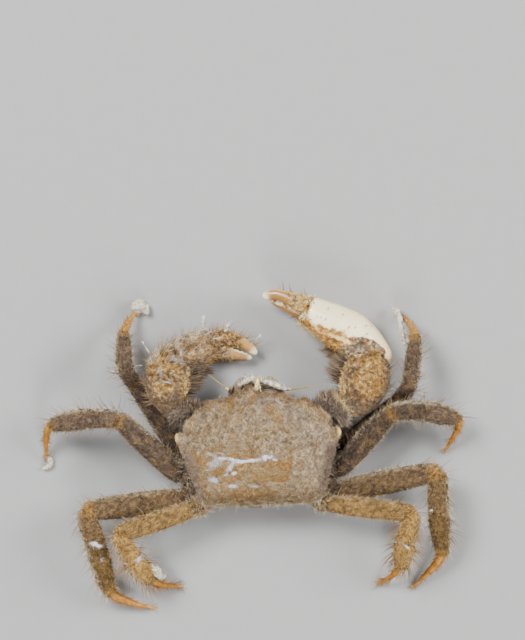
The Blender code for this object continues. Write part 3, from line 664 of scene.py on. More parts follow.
def grown(roots, hair, rng, aim=None, pull=0.0, vary=0.22):
    """One tapered, closed rod for each root.

    A hair leaves the skin at its lift from the lie of the coat, turned aside by its sweep. Its
    middle line is the root, plus the way along times that direction, plus the square of the
    way along times its curve towards the lie. Its width falls as the root of the way left.
    Returns points, colours, faces and the unwrap, where each hair has a patch of its own.
    """
    count = len(roots)
    lift = np.radians(rng.uniform(*hair.lift, count))[:, None]
    sweep = np.radians(rng.uniform(-hair.sweep, hair.sweep, count))[:, None]
    reach = rng.uniform(*hair.length, count)[:, None]
    aside = np.cross(roots.normal, roots.lie)
    heading = roots.lie * np.cos(sweep) + aside * np.sin(sweep)
    direction = heading * np.cos(lift) + roots.normal * np.sin(lift)
    if aim is not None:
        direction = unit(direction * (1.0 - pull) + np.array(aim, float) * pull)
    bend = heading * hair.curve + aside * rng.normal(0.0, 0.12, count)[:, None]
    across = unit(np.cross(direction, roots.normal) + 1e-3 * aside)
    edge = np.cross(direction, across)
    base = roots.place - roots.normal * HAIR_SINK

    joints, sides = hair.joints, hair.sides
    share = np.arange(joints) / joints
    centre = (
        base[:, None, :]
        + reach[:, None, :] * share[None, :, None] * direction[:, None, :]
        + reach[:, None, :] * (share**2)[None, :, None] * bend[:, None, :]
    )
    tip = base + reach * direction + reach * bend
    turn = np.arange(sides) * FULL_TURN / sides
    half = 0.5 * hair.width * np.sqrt(1.0 - share)
    ring = (
        np.cos(turn)[None, :, None] * across[:, None, :]
        + np.sin(turn)[None, :, None] * edge[:, None, :]
    )
    points = centre[:, :, None, :] + half[None, :, None, None] * ring[:, None, :, :]
    each = joints * sides + 1
    points = np.concatenate([points.reshape(count, -1, 3), tip[:, None, :]], axis=1)

    shade = rng.normal(1.0, vary, count).clip(0.45, 1.7)[:, None]
    level = np.concatenate([np.repeat(share, sides), [1.0]])
    # Painted shade at the roots: each hair goes from dark at the root to its own paler tone at the
    # tip.
    light = hair.root + (hair.tip - hair.root) * level
    tints = roots.tint[:, None, :] * (shade * light[None, :])[..., None]

    first = np.arange(count)[:, None] * each
    i = np.arange(sides)
    j = (i + 1) % sides
    bottom = first + i[::-1][None, :]
    walls = [
        np.stack([r * sides + i, r * sides + j, (r + 1) * sides + j, (r + 1) * sides + i], axis=1)
        for r in range(joints - 1)
    ]
    last = (joints - 1) * sides
    peak = np.stack([last + i, last + j, np.full(sides, joints * sides)], axis=1)
    spot = np.clip(roots.spot, PATCH, 1.0 - PATCH)
    around = (i / sides - 0.5) * PATCH
    wide = PATCH / sides
    faces, maps = [bottom], []
    corners = np.column_stack([around[::-1], np.full(sides, -0.5 * PATCH)])
    corners[:, 1] -= 0.25 * PATCH * (np.arange(sides) % 2)
    maps.append(spot[:, None, :] + corners[None])
    for r, wall in enumerate(walls):
        faces.append((first[:, :, None] + wall[None]).reshape(-1, 4))
        low = (r / joints - 0.5) * PATCH
        high = ((r + 1) / joints - 0.5) * PATCH
        square = [(around, low), (around + wide, low), (around + wide, high), (around, high)]
        square = corners_of(square, 1)
        maps.append((spot[:, None, None, :] + square[None]).reshape(-1, 4, 2))
    faces.append((first[:, :, None] + peak[None]).reshape(-1, 3))
    low = ((joints - 1) / joints - 0.5) * PATCH
    point = corners_of([(around, low), (around + wide, low), (around + 0.5 * wide, 0.5 * PATCH)], 1)
    maps.append((spot[:, None, None, :] + point[None]).reshape(-1, 3, 2))
    points[..., 2] = np.maximum(points[..., 2], FLOOR_CLEARANCE)
    return points.reshape(-1, 3), tints.reshape(-1, 3), faces, maps


# Meshes


class Build:
    """Gathers skins and hairs for one mesh."""

    def __init__(self):
        self.points = []
        self.tints = []
        self.faces = []
        self.maps = []
        self.finishes = []
        self.total = 0

    def add(self, points, tints, faces, maps, finish=0):
        for corners, spots in zip(faces, maps):
            self.faces.append(corners + self.total)
            self.maps.append(spots)
            self.finishes.append(np.full(len(corners), finish))
        self.points.append(points)
        self.tints.append(tints)
        self.total += len(points)

    def add_hairs(self, roots, hair, rng, finish=0, **ways):
        if len(roots):
            self.add(*grown(roots, hair, rng, **ways), finish=finish)

    def cover(self, skin, density, hair, rng, keep=None, lie=None, **ways):
        """Spreads hairs of one kind over a skin, so many for each square millimetre."""
        self.add_hairs(scattered(skin, density, rng, keep, lie), hair, rng, **ways)

    def add_skin(self, skin):
        """Four-cornered faces between the rings, and a fan of triangles to each pole."""
        rows, columns = skin.points.shape[:2]
        rings = skin.points[1:-1].reshape(-1, 3)
        points = np.concatenate([skin.points[:1, 0], rings, skin.points[-1:, 0]])
        tints = np.concatenate(
            [skin.tint[:1].mean(axis=1), skin.tint[1:-1].reshape(-1, 3), skin.tint[-1:].mean(axis=1)]
        )
        i = np.arange(columns)
        j = (i + 1) % columns
        ring = 1 + np.arange(rows - 3)[:, None] * columns
        quads = np.stack([ring + i, ring + columns + i, ring + columns + j, ring + j], axis=-1)
        top = 1 + (rows - 3) * columns
        end = len(points) - 1
        fans = np.concatenate(
            [
                np.column_stack([np.zeros(columns, int), 1 + i, 1 + j]),
                np.column_stack([top + i, np.full(columns, end), top + j]),
            ]
        )
        low, high = skin.band
        left, right = i / columns, (i + 1) / columns
        level = low + (high - low) * np.arange(rows) / (rows - 1)
        below, above = level[1:-2, None], level[2:-1, None]
        square = corners_of([(left, below), (left, above), (right, above), (right, below)], 2)
        middle = 0.5 * (left + right)
        first_fan = corners_of([(middle, level[0]), (left, level[1]), (right, level[1])], 1)
        last_fan = corners_of([(left, level[-2]), (middle, level[-1]), (right, level[-2])], 1)
        self.add(
            points,
            tints,
            [quads.reshape(-1, 4), fans],
            [square.reshape(-1, 4, 2), np.concatenate([first_fan, last_fan])],
            skin.finish,
        )

    def mesh(self, name):
        mesh = bpy.data.meshes.new(name)
        points = np.concatenate(self.points) * MM
        mesh.vertices.add(len(points))
        mesh.vertices.foreach_set("co", points.ravel().astype(np.float32))
        corners = np.concatenate([f.ravel() for f in self.faces])
        sizes = np.concatenate([np.full(len(f), f.shape[1]) for f in self.faces])
        mesh.loops.add(len(corners))
        mesh.polygons.add(len(sizes))
        starts = np.concatenate([[0], np.cumsum(sizes)[:-1]])
        mesh.polygons.foreach_set("loop_start", starts.astype(np.int32))
        mesh.polygons.foreach_set("vertices", corners.astype(np.int32))
        mesh.polygons.foreach_set("material_index", np.concatenate(self.finishes).astype(np.int32))
        mesh.update(calc_edges=True)
        spots = np.concatenate([m.reshape(-1, 2) for m in self.maps])
        layer = mesh.uv_layers.new(name="OFBake")
        layer.data.foreach_set("uv", spots.ravel().astype(np.float32))
        tints = np.concatenate(self.tints)
        tints = np.column_stack([np.clip(tints, 0.0, 1.0), np.ones(len(tints))])
        colours = mesh.color_attributes.new("tint", "FLOAT_COLOR", "POINT")
        colours.data.foreach_set("color", tints.ravel().astype(np.float32))
        mesh.shade_smooth()
        return mesh


def add_piece(name, build, finishes, nodes=()):
    """Puts a finished piece into the scene, on the one body, in place of its nodes."""
    mesh = build.mesh(name)
    for finish in finishes:
        mesh.materials.append(finish)
    piece = bpy.data.objects.new(name, mesh)
    bpy.context.scene.collection.objects.link(piece)
    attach(piece, "root")
    if nodes:
        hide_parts(*nodes)
    return piece


# Finishes


def joined(tree, value, socket):
    """Links a socket to another, or sets it where the value is plain."""
    if isinstance(value, bpy.types.NodeSocket):
        tree.links.new(value, socket)
    else:
        socket.default_value = value


def blended(tree, kind, share, first, second):
    node = tree.nodes.new("ShaderNodeMix")
    node.data_type = "RGBA"
    node.blend_type = kind
    joined(tree, share, node.inputs[0])
    joined(tree, first, node.inputs[6])
    joined(tree, second, node.inputs[7])
    return node.outputs[2]


def speckle(tree, size, detail=3.0):
    """Noise with lumps of a size in millimetres, on the piece's own coordinates."""
    places = tree.nodes.new("ShaderNodeTexCoord")
    noise = tree.nodes.new("ShaderNodeTexNoise")
    noise.inputs["Scale"].default_value = 1.0 / (size * MM)
    noise.inputs["Detail"].default_value = detail
    tree.links.new(places.outputs["Object"], noise.inputs["Vector"])
    return noise.outputs["Fac"]


def ranged(tree, value, low, high, to_low, to_high):
    node = tree.nodes.new("ShaderNodeMapRange")
    joined(tree, value, node.inputs["Value"])
    for name, number in zip(
        ("From Min", "From Max", "To Min", "To Max"), (low, high, to_low, to_high)
    ):
        node.inputs[name].default_value = number
    return node.outputs["Result"]


def new_finish(name):
    made = bpy.data.materials.new(name)
    made.use_nodes = True
    tree = made.node_tree
    return made, tree, tree.nodes["Principled BSDF"]


def tinted(tree, mottle, grain, depth, contrast):
    """The piece's own colours, mottled in lumps by a depth and in fine grain by a contrast."""
    colour = tree.nodes.new("ShaderNodeAttribute")
    colour.attribute_name = "tint"
    lumps = ranged(tree, speckle(tree, mottle), 0.35, 0.65, 1.0 - depth, 1.0 + depth)
    grains = ranged(tree, speckle(tree, grain, 1.0), 0.3, 0.7, 1.0 - contrast, 1.0 + contrast)
    first = blended(tree, "MULTIPLY", 1.0, colour.outputs["Color"], lumps)
    return blended(tree, "MULTIPLY", 1.0, first, grains)


def roughened(tree, shader, size, height):
    """Small bumps of a size and a height in millimetres."""
    bump = tree.nodes.new("ShaderNodeBump")
    bump.inputs["Strength"].default_value = 1.0
    bump.inputs["Distance"].default_value = height * MM
    tree.links.new(speckle(tree, size, 4.0), bump.inputs["Height"])
    tree.links.new(bump.outputs["Normal"], shader.inputs["Normal"])


def tinted_finish(name, grain, inputs, gloss=None, bumps=None):
    """A finish in the piece's own colours.

    It takes the four values of tinted, the shader's plain inputs, the size and range of an
    uneven roughness, and the size and height of bumps.
    """
    made, tree, shader = new_finish(name)
    tree.links.new(tinted(tree, *grain), shader.inputs["Base Color"])
    for socket, value in inputs.items():
        shader.inputs[socket].default_value = value
    if gloss:
        lumps, low, high = gloss
        uneven = ranged(tree, speckle(tree, lumps), 0.3, 0.7, low, high)
        tree.links.new(uneven, shader.inputs["Roughness"])
    if bumps:
        roughened(tree, shader, *bumps)
    return made


def felt_finish():
    """The shell under the coat: dull, and rough with the stubble between the tufts."""
    inputs = {"Roughness": 0.85, "Specular IOR Level": 0.15}
    return tinted_finish("felted shell", (0.5, 0.09, 0.12, 0.35), inputs, bumps=(0.09, 0.05))


def coat_finish():
    """Hairs: dull, with a trace of sheen."""
    inputs = {
        "Roughness": 0.6,
        "Specular IOR Level": 0.15,
        "Sheen Weight": 0.04,
        "Sheen Roughness": 0.5,
    }
    return tinted_finish("coat", (0.45, 0.09, 0.1, 0.36), inputs)


def horn_finish():
    """Bare shell on fingers, leg tips and worn spots: smooth, with a soft gloss."""
    inputs = {
        "Specular IOR Level": 0.25,
        "Subsurface Weight": 0.15,
        "Subsurface Radius": (1.0, 0.6, 0.35),
        "Subsurface Scale": 0.25 * MM,
    }
    grain = (0.5, 0.13, 0.12, 0.16)
    return tinted_finish("bare horn", grain, inputs, (0.4, 0.38, 0.58), (0.25, 0.012))


def ivory_finish():
    """The bare hand of the large claw: like porcelain, with faint clouds and pores."""
    inputs = {
        "Subsurface Weight": 0.2,
        "Subsurface Radius": (1.0, 0.7, 0.45),
        "Subsurface Scale": 0.35 * MM,
        "Coat Weight": 0.25,
        "Coat Roughness": 0.2,
    }
    return tinted_finish("ivory", (1.4, 0.25, 0.05, 0.04), inputs, (0.6, 0.22, 0.4), (0.5, 0.01))


def eye_finish():
    """A small glossy eye with a faint net of facets."""
    inputs = {"Roughness": 0.15, "Coat Weight": 0.6, "Coat Roughness": 0.05}
    made = tinted_finish("eye", (0.3, 0.1, 0.08, 0.08), inputs)
    tree = made.node_tree
    places = tree.nodes.new("ShaderNodeTexCoord")
    cells = tree.nodes.new("ShaderNodeTexVoronoi")
    cells.inputs["Scale"].default_value = 1.0 / (0.04 * MM)
    tree.links.new(places.outputs["Object"], cells.inputs["Vector"])
    bump = tree.nodes.new("ShaderNodeBump")
    bump.inputs["Strength"].default_value = 0.4
    bump.inputs["Distance"].default_value = 0.004 * MM
    bump.invert = True
    tree.links.new(cells.outputs["Distance"], bump.inputs["Height"])
    tree.links.new(bump.outputs["Normal"], tree.nodes["Principled BSDF"].inputs["Normal"])
    return made


def crust_finish():
    """Chalky crust that sticks to the legs and the small claw."""
    inputs = {"Roughness": 0.7, "Subsurface Weight": 0.2, "Subsurface Scale": 0.2 * MM}
    return tinted_finish("crust", (0.35, 0.1, 0.15, 0.3), inputs, bumps=(0.12, 0.06))


def floor_finish(colour):
    """Pale card with a barely seen grain."""
    made, tree, shader = new_finish("floor card")
    grain = ranged(tree, speckle(tree, 1.5, 5.0), 0.3, 0.7, 0.985, 1.015)
    shade = blended(tree, "MULTIPLY", 1.0, (*colour, 1.0), grain)
    tree.links.new(shade, shader.inputs["Base Color"])
    shader.inputs["Roughness"].default_value = 0.9
    shader.inputs["Specular IOR Level"].default_value = 0.1
    return made


# Settings


def size(name, description, default):
    """A length that a user may change. The default is given in millimetres."""
    return bpy.props.FloatProperty(
        name=name,
        description=description,
        default=default * MM,
        min=0.0,
        unit="LENGTH",
        precision=6,
    )


def amount(name, description, default, unit="NONE"):
    return bpy.props.FloatProperty(
        name=name, description=description, default=default, min=0.0, unit=unit
    )


def colour(name, description, default):
    return bpy.props.FloatVectorProperty(
        name=name, description=description, default=default, subtype="COLOR", min=0.0, max=1.0
    )


class CrabCoatSettings(bpy.types.PropertyGroup):
    depth: size("Coat depth", "How far the skin lies inside the solids", 0.12)
    felt_length: size("Felt length", "Mean length of the short tufts", 0.2)
    felt_width: size("Felt width", "Width of a short tuft at its root", 0.05)
    felt_density: amount("Felt density", "Short tufts for each square mm of the legs", 150.0)
    bristle_length: size("Bristle length", "Longest bristles on the legs", 1.9)
    bristle_width: size("Bristle width", "Width of a long bristle at its root", 0.055)


class CrabColourSettings(bpy.types.PropertyGroup):
    beige: colour("Beige", "Most of the shell's back", (0.32, 0.22, 0.115))
    grey: colour("Grey", "Greyish lumps of the coat", (0.37, 0.3, 0.23))
    rust: colour("Rust", "Rusty patches on the shell", (0.32, 0.155, 0.03))
    ochre: colour("Ochre", "Coat of the last legs and the claws", (0.365, 0.215, 0.066))
    lilac: colour("Lilac brown", "Coat of the front legs", (0.112, 0.077, 0.056))
    umber: colour("Umber", "Dark coat near the body", (0.045, 0.027, 0.017))
    worn: colour("Worn shell", "Bare bluish patches on the shell", (0.55, 0.54, 0.6))
    bone: colour("Bone", "Small parts before the shell", (0.5, 0.45, 0.35))
    pale: colour("Pale", "Pale rims and seams", (0.6, 0.5, 0.35))
    bristle: colour("Bristle", "The long bristles", (0.2, 0.13, 0.07))
    ivory: colour("Ivory", "The large claw's bare hand", (0.98, 0.86, 0.55))
    cream: colour("Cream", "The large claw's outer rim", (0.82, 0.57, 0.24))
    gold: colour("Gold", "The rough zone of the claws", (0.38, 0.17, 0.03))
    tan: colour("Tan", "The fingers", (0.3, 0.145, 0.036))
    orange: colour("Orange", "Leg tips", (0.34, 0.13, 0.008))
    knee: colour("Knee", "Knees of the legs", (0.38, 0.2, 0.045))
    yellow: colour("Yellow", "Side teeth and mouth line", (0.7, 0.5, 0.2))
    feeler: colour("Feeler", "The thin feelers", (0.24, 0.2, 0.07))
    crust: colour("Crust", "Chalky crusts on the legs", (0.52, 0.5, 0.43))


class CrabStageSettings(bpy.types.PropertyGroup):
    floor: colour("Floor", "The pale floor", (0.318, 0.315, 0.312))
    lamp_power: amount("Lamp power", "Power of the main lamp", 2.0, "POWER")
    sky: amount("Sky", "Strength of the even light from all round", 0.365)


# The shell


def shell_height(share, x, y):
    """Height of the solid shell's back at a share of the way out from its middle."""
    forward = np.clip((y - SHELL_REAR) / (SHELL_FRONT - SHELL_REAR), 0.0, 1.0)
    margin = MARGIN_REAR + (MARGIN_FRONT - MARGIN_REAR) * forward
    sideways = np.clip(np.abs(x) / SHELL_HALF_WIDTH, 0.0, 1.0)
    margin = margin + (MARGIN_SIDE - margin) * sideways**2
    return margin + (SHELL_PEAK - margin) * (1.0 - share**DOME_ROUNDNESS)


def shell_relief(places):
    """Low mounds over the regions of the back: a bell curve over each, on both sides."""
    total = np.zeros(places.shape[:-1])
    for x, y, wide, long in SHELL_REGIONS:
        for side in (-1.0, 1.0) if x else (1.0,):
            east = (places[..., 0] - side * x) / wide
            north = (places[..., 1] - y) / long
            total = np.maximum(total, np.exp(-(east**2) - north**2))
    return total


def shell_skin(depth):
    """The shell: its outline drawn in towards the middle, ring by ring.

    The first rings run out over the flat underside, then over the edge and up the back, whose
    height is the solid's less the coat's depth, plus the relief and fine grains.
    """
    loop = smooth_loop(SHELL_RIGHT + SHELL_LEFT[::-1], SHELL_COLUMNS)
    middle = np.array(SHELL_MIDDLE)
    reach = np.linalg.norm(loop - middle, axis=1, keepdims=True)
    loop = middle + (loop - middle) * (1.0 - depth / reach)
    under = np.linspace(0.0, 0.94, SHELL_UNDER_RINGS)
    over = 1.0 - np.linspace(0.0, 1.0, SHELL_BACK_RINGS) ** 1.25
    shares = np.concatenate([under, [0.965, 0.985], over])
    flat = middle + (loop[None] - middle) * shares[:, None, None]
    back = shell_height(shares[:, None], loop[None, :, 0], loop[None, :, 1]) - depth
    height = np.full(back.shape, SHELL_FLAT)
    edge = len(under)
    height[edge] = SHELL_EDGE
    height[edge + 1] = 0.5 * SHELL_EDGE + 0.5 * back[edge + 2] - 0.03
    height[edge + 2 :] = back[edge + 2 :]
    skin = Skin(np.concatenate([flat, height[..., None]], axis=-1), 0.5 * math.pi)
    top = np.zeros(back.shape)
    top[edge + 2 :] = 1.0
    mound = 0.22 * (shell_relief(skin.points) - 0.9) * eased(1.0 - shares, 0.0, 0.18)[:, None]
    grain = 0.1 * (cloud(skin.points, 0.36, 1) - 0.6) + 0.07 * (cloud(skin.points, 0.16, 2) - 0.6)
    rear = eased(-skin.points[..., 1], 4.6, 5.4)
    rim = 0.05 * np.exp(-(((shares - 0.975) / 0.014) ** 2))[:, None] * rear
    ditch = -0.05 * np.exp(-(((shares - 0.935) / 0.02) ** 2))[:, None] * rear
    skin.push(top * (mound + grain + rim + ditch))
    skin.top = top
    skin.shares = shares[:, None] * np.ones((1, SHELL_COLUMNS))
    return skin


def shell_tint(skin, colours):
    """Beige and grey lumps, golden and rusty patches, worn spots, dark flanks, yellow teeth, and
    painted shade on the right flank.
    """
    places = skin.points
    greyer = 0.15 + 0.7 * patches(places, GREY_PATCHES)
    tint = mix(colours.beige, colours.grey, greyer)
    lumps = 0.72 + 0.32 * cloud(places, 0.9, 3) + 0.26 * cloud(places, 0.42, 12)
    tint = tint * lumps[..., None]
    golden = patches(places, OCHRE_PATCHES, 0.9) * (0.5 + 0.6 * cloud(places, 0.4, 7))
    tint = mix(tint, colours.ochre, golden)
    tint = grainy(tint, places, 0.3, 4, colours.pale, colours.umber, 0.4 - 0.15 * golden)
    tint = grainy(tint, places, 0.15, 10, colours.pale, colours.umber, 0.35 - 0.15 * golden)
    rust = patches(places, RUSTY_PATCHES, 0.8) * (0.4 + 0.8 * cloud(places, 0.28, 8))
    stray = 0.45 * eased(cloud(places, 0.45, 9), 0.66, 0.88)
    tint = mix(tint, colours.rust, 0.85 * np.clip(np.maximum(rust, stray), 0.0, 1.0))
    x, y = np.abs(places[..., 0]), places[..., 1]
    rear = eased(-y, 3.9, 5.0)
    tint = tint * mix((1.0, 1.0, 1.0), (0.66, 0.63, 0.56), rear)
    flank = eased(skin.shares, 0.82, 0.93) * eased(-y, -0.7, 0.8) * eased(x, 5.1, 5.9)
    tint = mix(tint, np.array(colours.lilac) * 1.9, 0.9 * flank)
    # Painted shade: the right flank is a quarter darker than the left.
    tint = tint * (1.0 - 0.25 * flank * (places[..., 0] > 0.0))[..., None]
    fringe = eased(skin.shares, 0.9, 0.98) * eased(y, 2.5, 4.0)
    darker = mix(colours.rust, colours.umber, 0.3 + 0.6 * cloud(places, 0.3, 13))
    tint = mix(tint, darker, 0.6 * fringe)
    tint = speckled(tint, places, 0.13, 11, 0.18)
    worn = patches(places, WORN_PATCHES, 0.9)
    tint = mix(tint, colours.worn, worn)
    tooth = eased(x, 7.3, 7.7) * eased(y, 0.25, 0.75)
    tint = mix(tint, mix(colours.yellow, colours.cream, cloud(places, 0.25, 69)), 0.9 * tooth)
    rim = np.exp(-(((skin.shares - 0.985) / 0.012) ** 2)) * eased(-y, 4.9, 5.5)
    tint = mix(tint, colours.pale, 0.5 * rim)
    under = 1.0 - skin.top
    skin.worn = np.maximum(worn, 0.7 * tooth)
    skin.tint = mix(tint, colours.umber, 0.8 * under)


def shade_under_coat(skin, cover, amount=0.42):
    """Paints the coat's shade: darkens a skin where hair covers it, once its hairs have taken its
    colours.
    """
    skin.tint = skin.tint * (1.0 - amount * cover)[..., None]


# The body


def chest_skin(depth):
    """The chest: its outline at each level, narrowed, shortened and flared as the level says.

    A band under the middle is drawn in to make the bed of the abdomen.
    """
    loop = smooth_loop(both_sides(CHEST_OUTLINE), CHEST_COLUMNS)
    reach = np.clip((loop[:, 1] - CHEST_SIDES_FROM) / (CHEST_SIDES_TO - CHEST_SIDES_FROM), 0.0, 1.0)
    bulge = np.sin(math.pi * reach) ** CHEST_FULLNESS * np.sign(loop[:, 0])
    levels = np.array(CHEST_LEVELS)
    at = np.linspace(0.0, len(levels) - 1.0, CHEST_RINGS)
    height, share, front, rear, flare = smooth_through(levels, at).T
    ahead = loop[None, :, 1] * front[:, None] / CHEST_FRONT
    behind = loop[None, :, 1] * rear[:, None] / CHEST_REAR
    y = np.where(loop[None, :, 1] > 0.0, ahead, behind)
    x = loop[None, :, 0] * share[:, None] + flare[:, None] * bulge[None]
    z = height[:, None] * np.ones_like(x)
    walls = np.stack([x, y, z], axis=-1)
    centre = np.array((0.0, -1.0, 0.0))
    spread = np.linspace(0.0, 0.985, 26)[:, None, None]
    bottom = centre + (walls[0] - centre) * spread
    lid = np.linspace(0.97, 0.0, 8)[:, None, None]
    top_centre = np.array((0.0, -0.5, height[-1]))
    top = top_centre + (walls[-1] - top_centre) * lid
    skin = Skin(np.concatenate([bottom, walls, top]), 0.5 * math.pi)
    skin.push(np.full(skin.points.shape[:2], -depth))
    x, y, z = np.moveaxis(skin.points, -1, 0)
    sections = np.array(ABDOMEN_SECTIONS)[4:]
    width = np.interp(y, sections[:, 0], sections[:, 2])
    inside = (1.0 - eased(np.abs(x) - 0.5 * width, -0.02, 0.2)) * (1.0 - eased(y, 1.3, 1.55))
    floor = 0.72 * inside * (1.0 - eased(z, 0.5, 0.9))
    skin.points[..., 2] = np.maximum(z, floor)
    grooves = np.zeros(x.shape)
    for place in (-3.2, -1.6, 0.1, 1.7):
        line = y - place - 0.16 * np.abs(x)
        grooves = grooves - 0.09 * np.exp(-((line / 0.11) ** 2))
    low = 1.0 - eased(z, 1.2, 2.4)
    grain = 0.05 * (cloud(skin.points, 0.3, 11) - 0.5)
    skin.push(grooves * low + grain)
    return skin


def abdomen_skin(depth):
    """The abdomen: flat ovals along its bent line, nipped in where its plates meet."""
    sections = np.array(ABDOMEN_SECTIONS)
    at = end_weighted(150) * (len(sections) - 1)
    y, z, width = smooth_through(sections, at).T
    centres = np.column_stack([np.zeros_like(y), y, z])
    directions = np.gradient(centres, axis=0)
    run = way_along(centres)
    scale = dome(run, run[-1], 0.35)
    turn = np.linspace(0.0, FULL_TURN, 72, endpoint=False)
    directions = unit(directions)
    across = np.array((1.0, 0.0, 0.0))
    upward = np.cross(across, directions)
    east = signed_power(np.cos(turn), 0.8)
    north = signed_power(np.sin(turn), 0.8)
    half = (0.5 * width - 0.4 * depth) * scale
    deep = (0.5 * ABDOMEN_DEPTH - 0.4 * depth) * scale
    points = (
        centres[:, None, :]
        + (half[:, None] * east)[..., None] * across
        + (deep[:, None] * north)[..., None] * upward[:, None, :]
    )
    skin = Skin(points)
    pinch = np.zeros(len(at))
    for place in ABDOMEN_JOINTS:
        pinch = pinch - 0.07 * np.exp(-(((run - place) / 0.06) ** 2))
    skin.push(pinch[:, None] * np.ones((1, 72)) + 0.02 * (cloud(points, 0.25, 12) - 0.5))
    return skin


def mouthpart_skins(side, depth):
    """One outer mouthpart: a long plate with a seam across it, a strip beside it and a palp."""
    sections = np.array(MOUTHPART_SECTIONS)
    at = end_weighted(90) * (len(sections) - 1)
    x, y, z, width = smooth_through(sections, at).T
    centres = np.column_stack([side * x, y, z])
    run = way_along(centres)
    scale = dome(run, run[-1], 0.4)
    plate = Skin(
        ring_points(
            centres,
            np.gradient(centres, axis=0),
            (0.5 * width - 0.5 * depth) * scale,
            (0.5 * MOUTHPART_DEPTH - 0.5 * depth) * scale,
            64,
            2.8,
        )
    )
    seam = -0.07 * np.exp(-(((run - 2.6) / 0.07) ** 2)) - 0.05 * np.exp(-(((run - 1.0) / 0.06) ** 2))
    inner = np.cos(plate.turn - (math.pi if side > 0 else 0.0))
    crease = -0.05 * np.exp(-(((inner - 0.45) / 0.12) ** 2))
    plate.push(seam[:, None] + crease + 0.03 * (cloud(plate.points, 0.3, 13) - 0.5))
    strip = sausage(
        [
            (side * 2.45, 2.9, 0.95, 0.3),
            (side * 2.55, 4.0, 1.75, 0.45),
            (side * 2.5, 5.0, 2.65, 0.4),
            (side * 2.2, 5.6, 3.1, 0.25),
        ],
        40,
        20,
    )
    palp = sausage(
        [
            (side * 0.95, 5.75, 3.0, 0.4),
            (side * 0.5, 5.9, 2.85, 0.42),
            (side * 0.3, 5.5, 2.35, 0.36),
            (side * 0.3, 4.9, 1.85, 0.22),
        ],
        40,
        20,
    )
    return [plate, strip, palp]


# Legs


def leg_knots(leg):
    """The joints of a leg from its headings, its reaches in plan and its heights."""
    pair, side_name = leg.split("_")
    side = -1.0 if side_name == "left" else 1.0
    knots = [np.array(point) * (side, 1.0, 1.0) for point in HIPS[pair]]
    for heading, reach, height in zip(*LEG_POSES[leg]):
        angle = math.radians(heading)
        x = knots[-1][0] + reach * math.cos(angle)
        y = knots[-1][1] + reach * math.sin(angle)
        knots.append(np.array((x, y, height)))
    return knots


def bent_path(knots, bend):
    """A line through the knots whose corners are eased by a quadratic arc."""
    knots = np.array(knots, float)
    points = [knots[0]]
    middles = [0]
    for before, corner, after in zip(knots, knots[1:], knots[2:]):
        back = before - corner
        ahead = after - corner
        shorter = min(np.linalg.norm(back), np.linalg.norm(ahead))
        reach = min(bend, BEND_LARGEST_SHARE * shorter)
        enter = corner + back / np.linalg.norm(back) * reach
        leave = corner + ahead / np.linalg.norm(ahead) * reach
        steps = np.linspace(0.0, 1.0, BEND_STEPS)[:, None]
        arc = (1 - steps) ** 2 * enter + 2 * steps * (1 - steps) * corner + steps**2 * leave
        middles.append(len(points) + BEND_STEPS // 2)
        points.extend(arc)
    points.append(knots[-1])
    middles.append(len(points) - 1)
    points = np.array(points)
    run = way_along(points)
    return points, run, [run[m] for m in middles]


def on_path(points, run, distances):
    """Places and directions on a path at distances from its start."""

    def at(stops):
        return np.column_stack([np.interp(stops, run, axis) for axis in points.T])

    return at(distances), at(distances + DIRECTION_SPAN) - at(distances - DIRECTION_SPAN)


def plate_widths(pair):
    """The widths of a leg's plates, each pair of plates meeting at the mean of their ends."""
    table = [list(widths) for widths in LEG_WIDTHS[pair]]
    table[0] = [1.2 * width for width in table[0]]
    table[4][0] = TIP_WIDTH[pair]
    for number in range(1, len(table)):
        joint = 0.5 * (table[number - 1][2] + table[number][0])
        if number < 4:
            table[number][0] = joint
        table[number - 1][2] = joint
    return table


def leg_skins(leg, depth):
    """The five plates of a leg, each set a little way into the one before.

    A plate's width follows a parabola through its three widths, less the coat. The last one
    narrows as the way left to the power 0.75, and bends down to the floor.
    """
    pair = leg.split("_")[0]
    points, run, joints = bent_path(leg_knots(leg), LEG_BEND)
    widths = plate_widths(pair)
    outer = bend_side(leg)
    plates = []
    for number, segment in enumerate(SEGMENTS):
        start = joints[number] - (PLATE_INSET if number else 0.0)
        end = joints[number + 1] + (PLATE_REACH if number < 4 else 0.0)
        share = end_weighted(30 if segment == "coxa" else 52)
        distance = start + (end - start) * share
        centres, directions = on_path(points, run, distance)
        first, middle, last = widths[number]
        tip = segment == "dactyl"
        if tip:
            width = first * (1.0 - share) ** 0.75 + 0.05
        else:
            width = first + (last - first) * share
            width = width + 4.0 * (middle - 0.5 * (first + last)) * share * (1.0 - share)
        coat = depth * (0.35 if tip else 1.0)
        half = np.maximum(0.5 * width - coat, LEG_THINNEST)
        flat = np.maximum(0.5 * width * LEG_DEPTH[number] - coat, LEG_THINNEST)
        if number:
            socket = 0.78 + 0.22 * eased(distance - start, 0.05, 0.55)
            half = half * socket
            flat = flat * socket
        if tip:
            flat = np.minimum(flat, 1.05 * half)
            centres[:, 2] -= (centres[-1, 2] - 0.05) * share**2
            aside = unit(np.cross(directions, UP)) * math.cos(outer)
            centres = centres + aside * (0.14 * np.sin(math.pi * share))[:, None]
        else:
            lip = 1.0 + 0.05 * np.exp(-(((end - distance - 0.28) / 0.18) ** 2))
            half = half * lip
            flat = flat * lip
        scale = dome(distance - start, end - start, 0.06 if tip else 0.24)
        squareness = 2.0 if tip else 2.15
        half, flat = half * scale, flat * scale
        plate = Skin(ring_points(centres, directions, half, flat, LEG_COLUMNS, squareness))
        if not tip:
            grain = 0.06 * (cloud(plate.points, 0.3, 14) - 0.5)
            grain = grain + 0.05 * (cloud(plate.points, 0.15, 44) - 0.5)
            plate.push(grain)
        plate.segment = number
        plates.append(plate)
    return plates


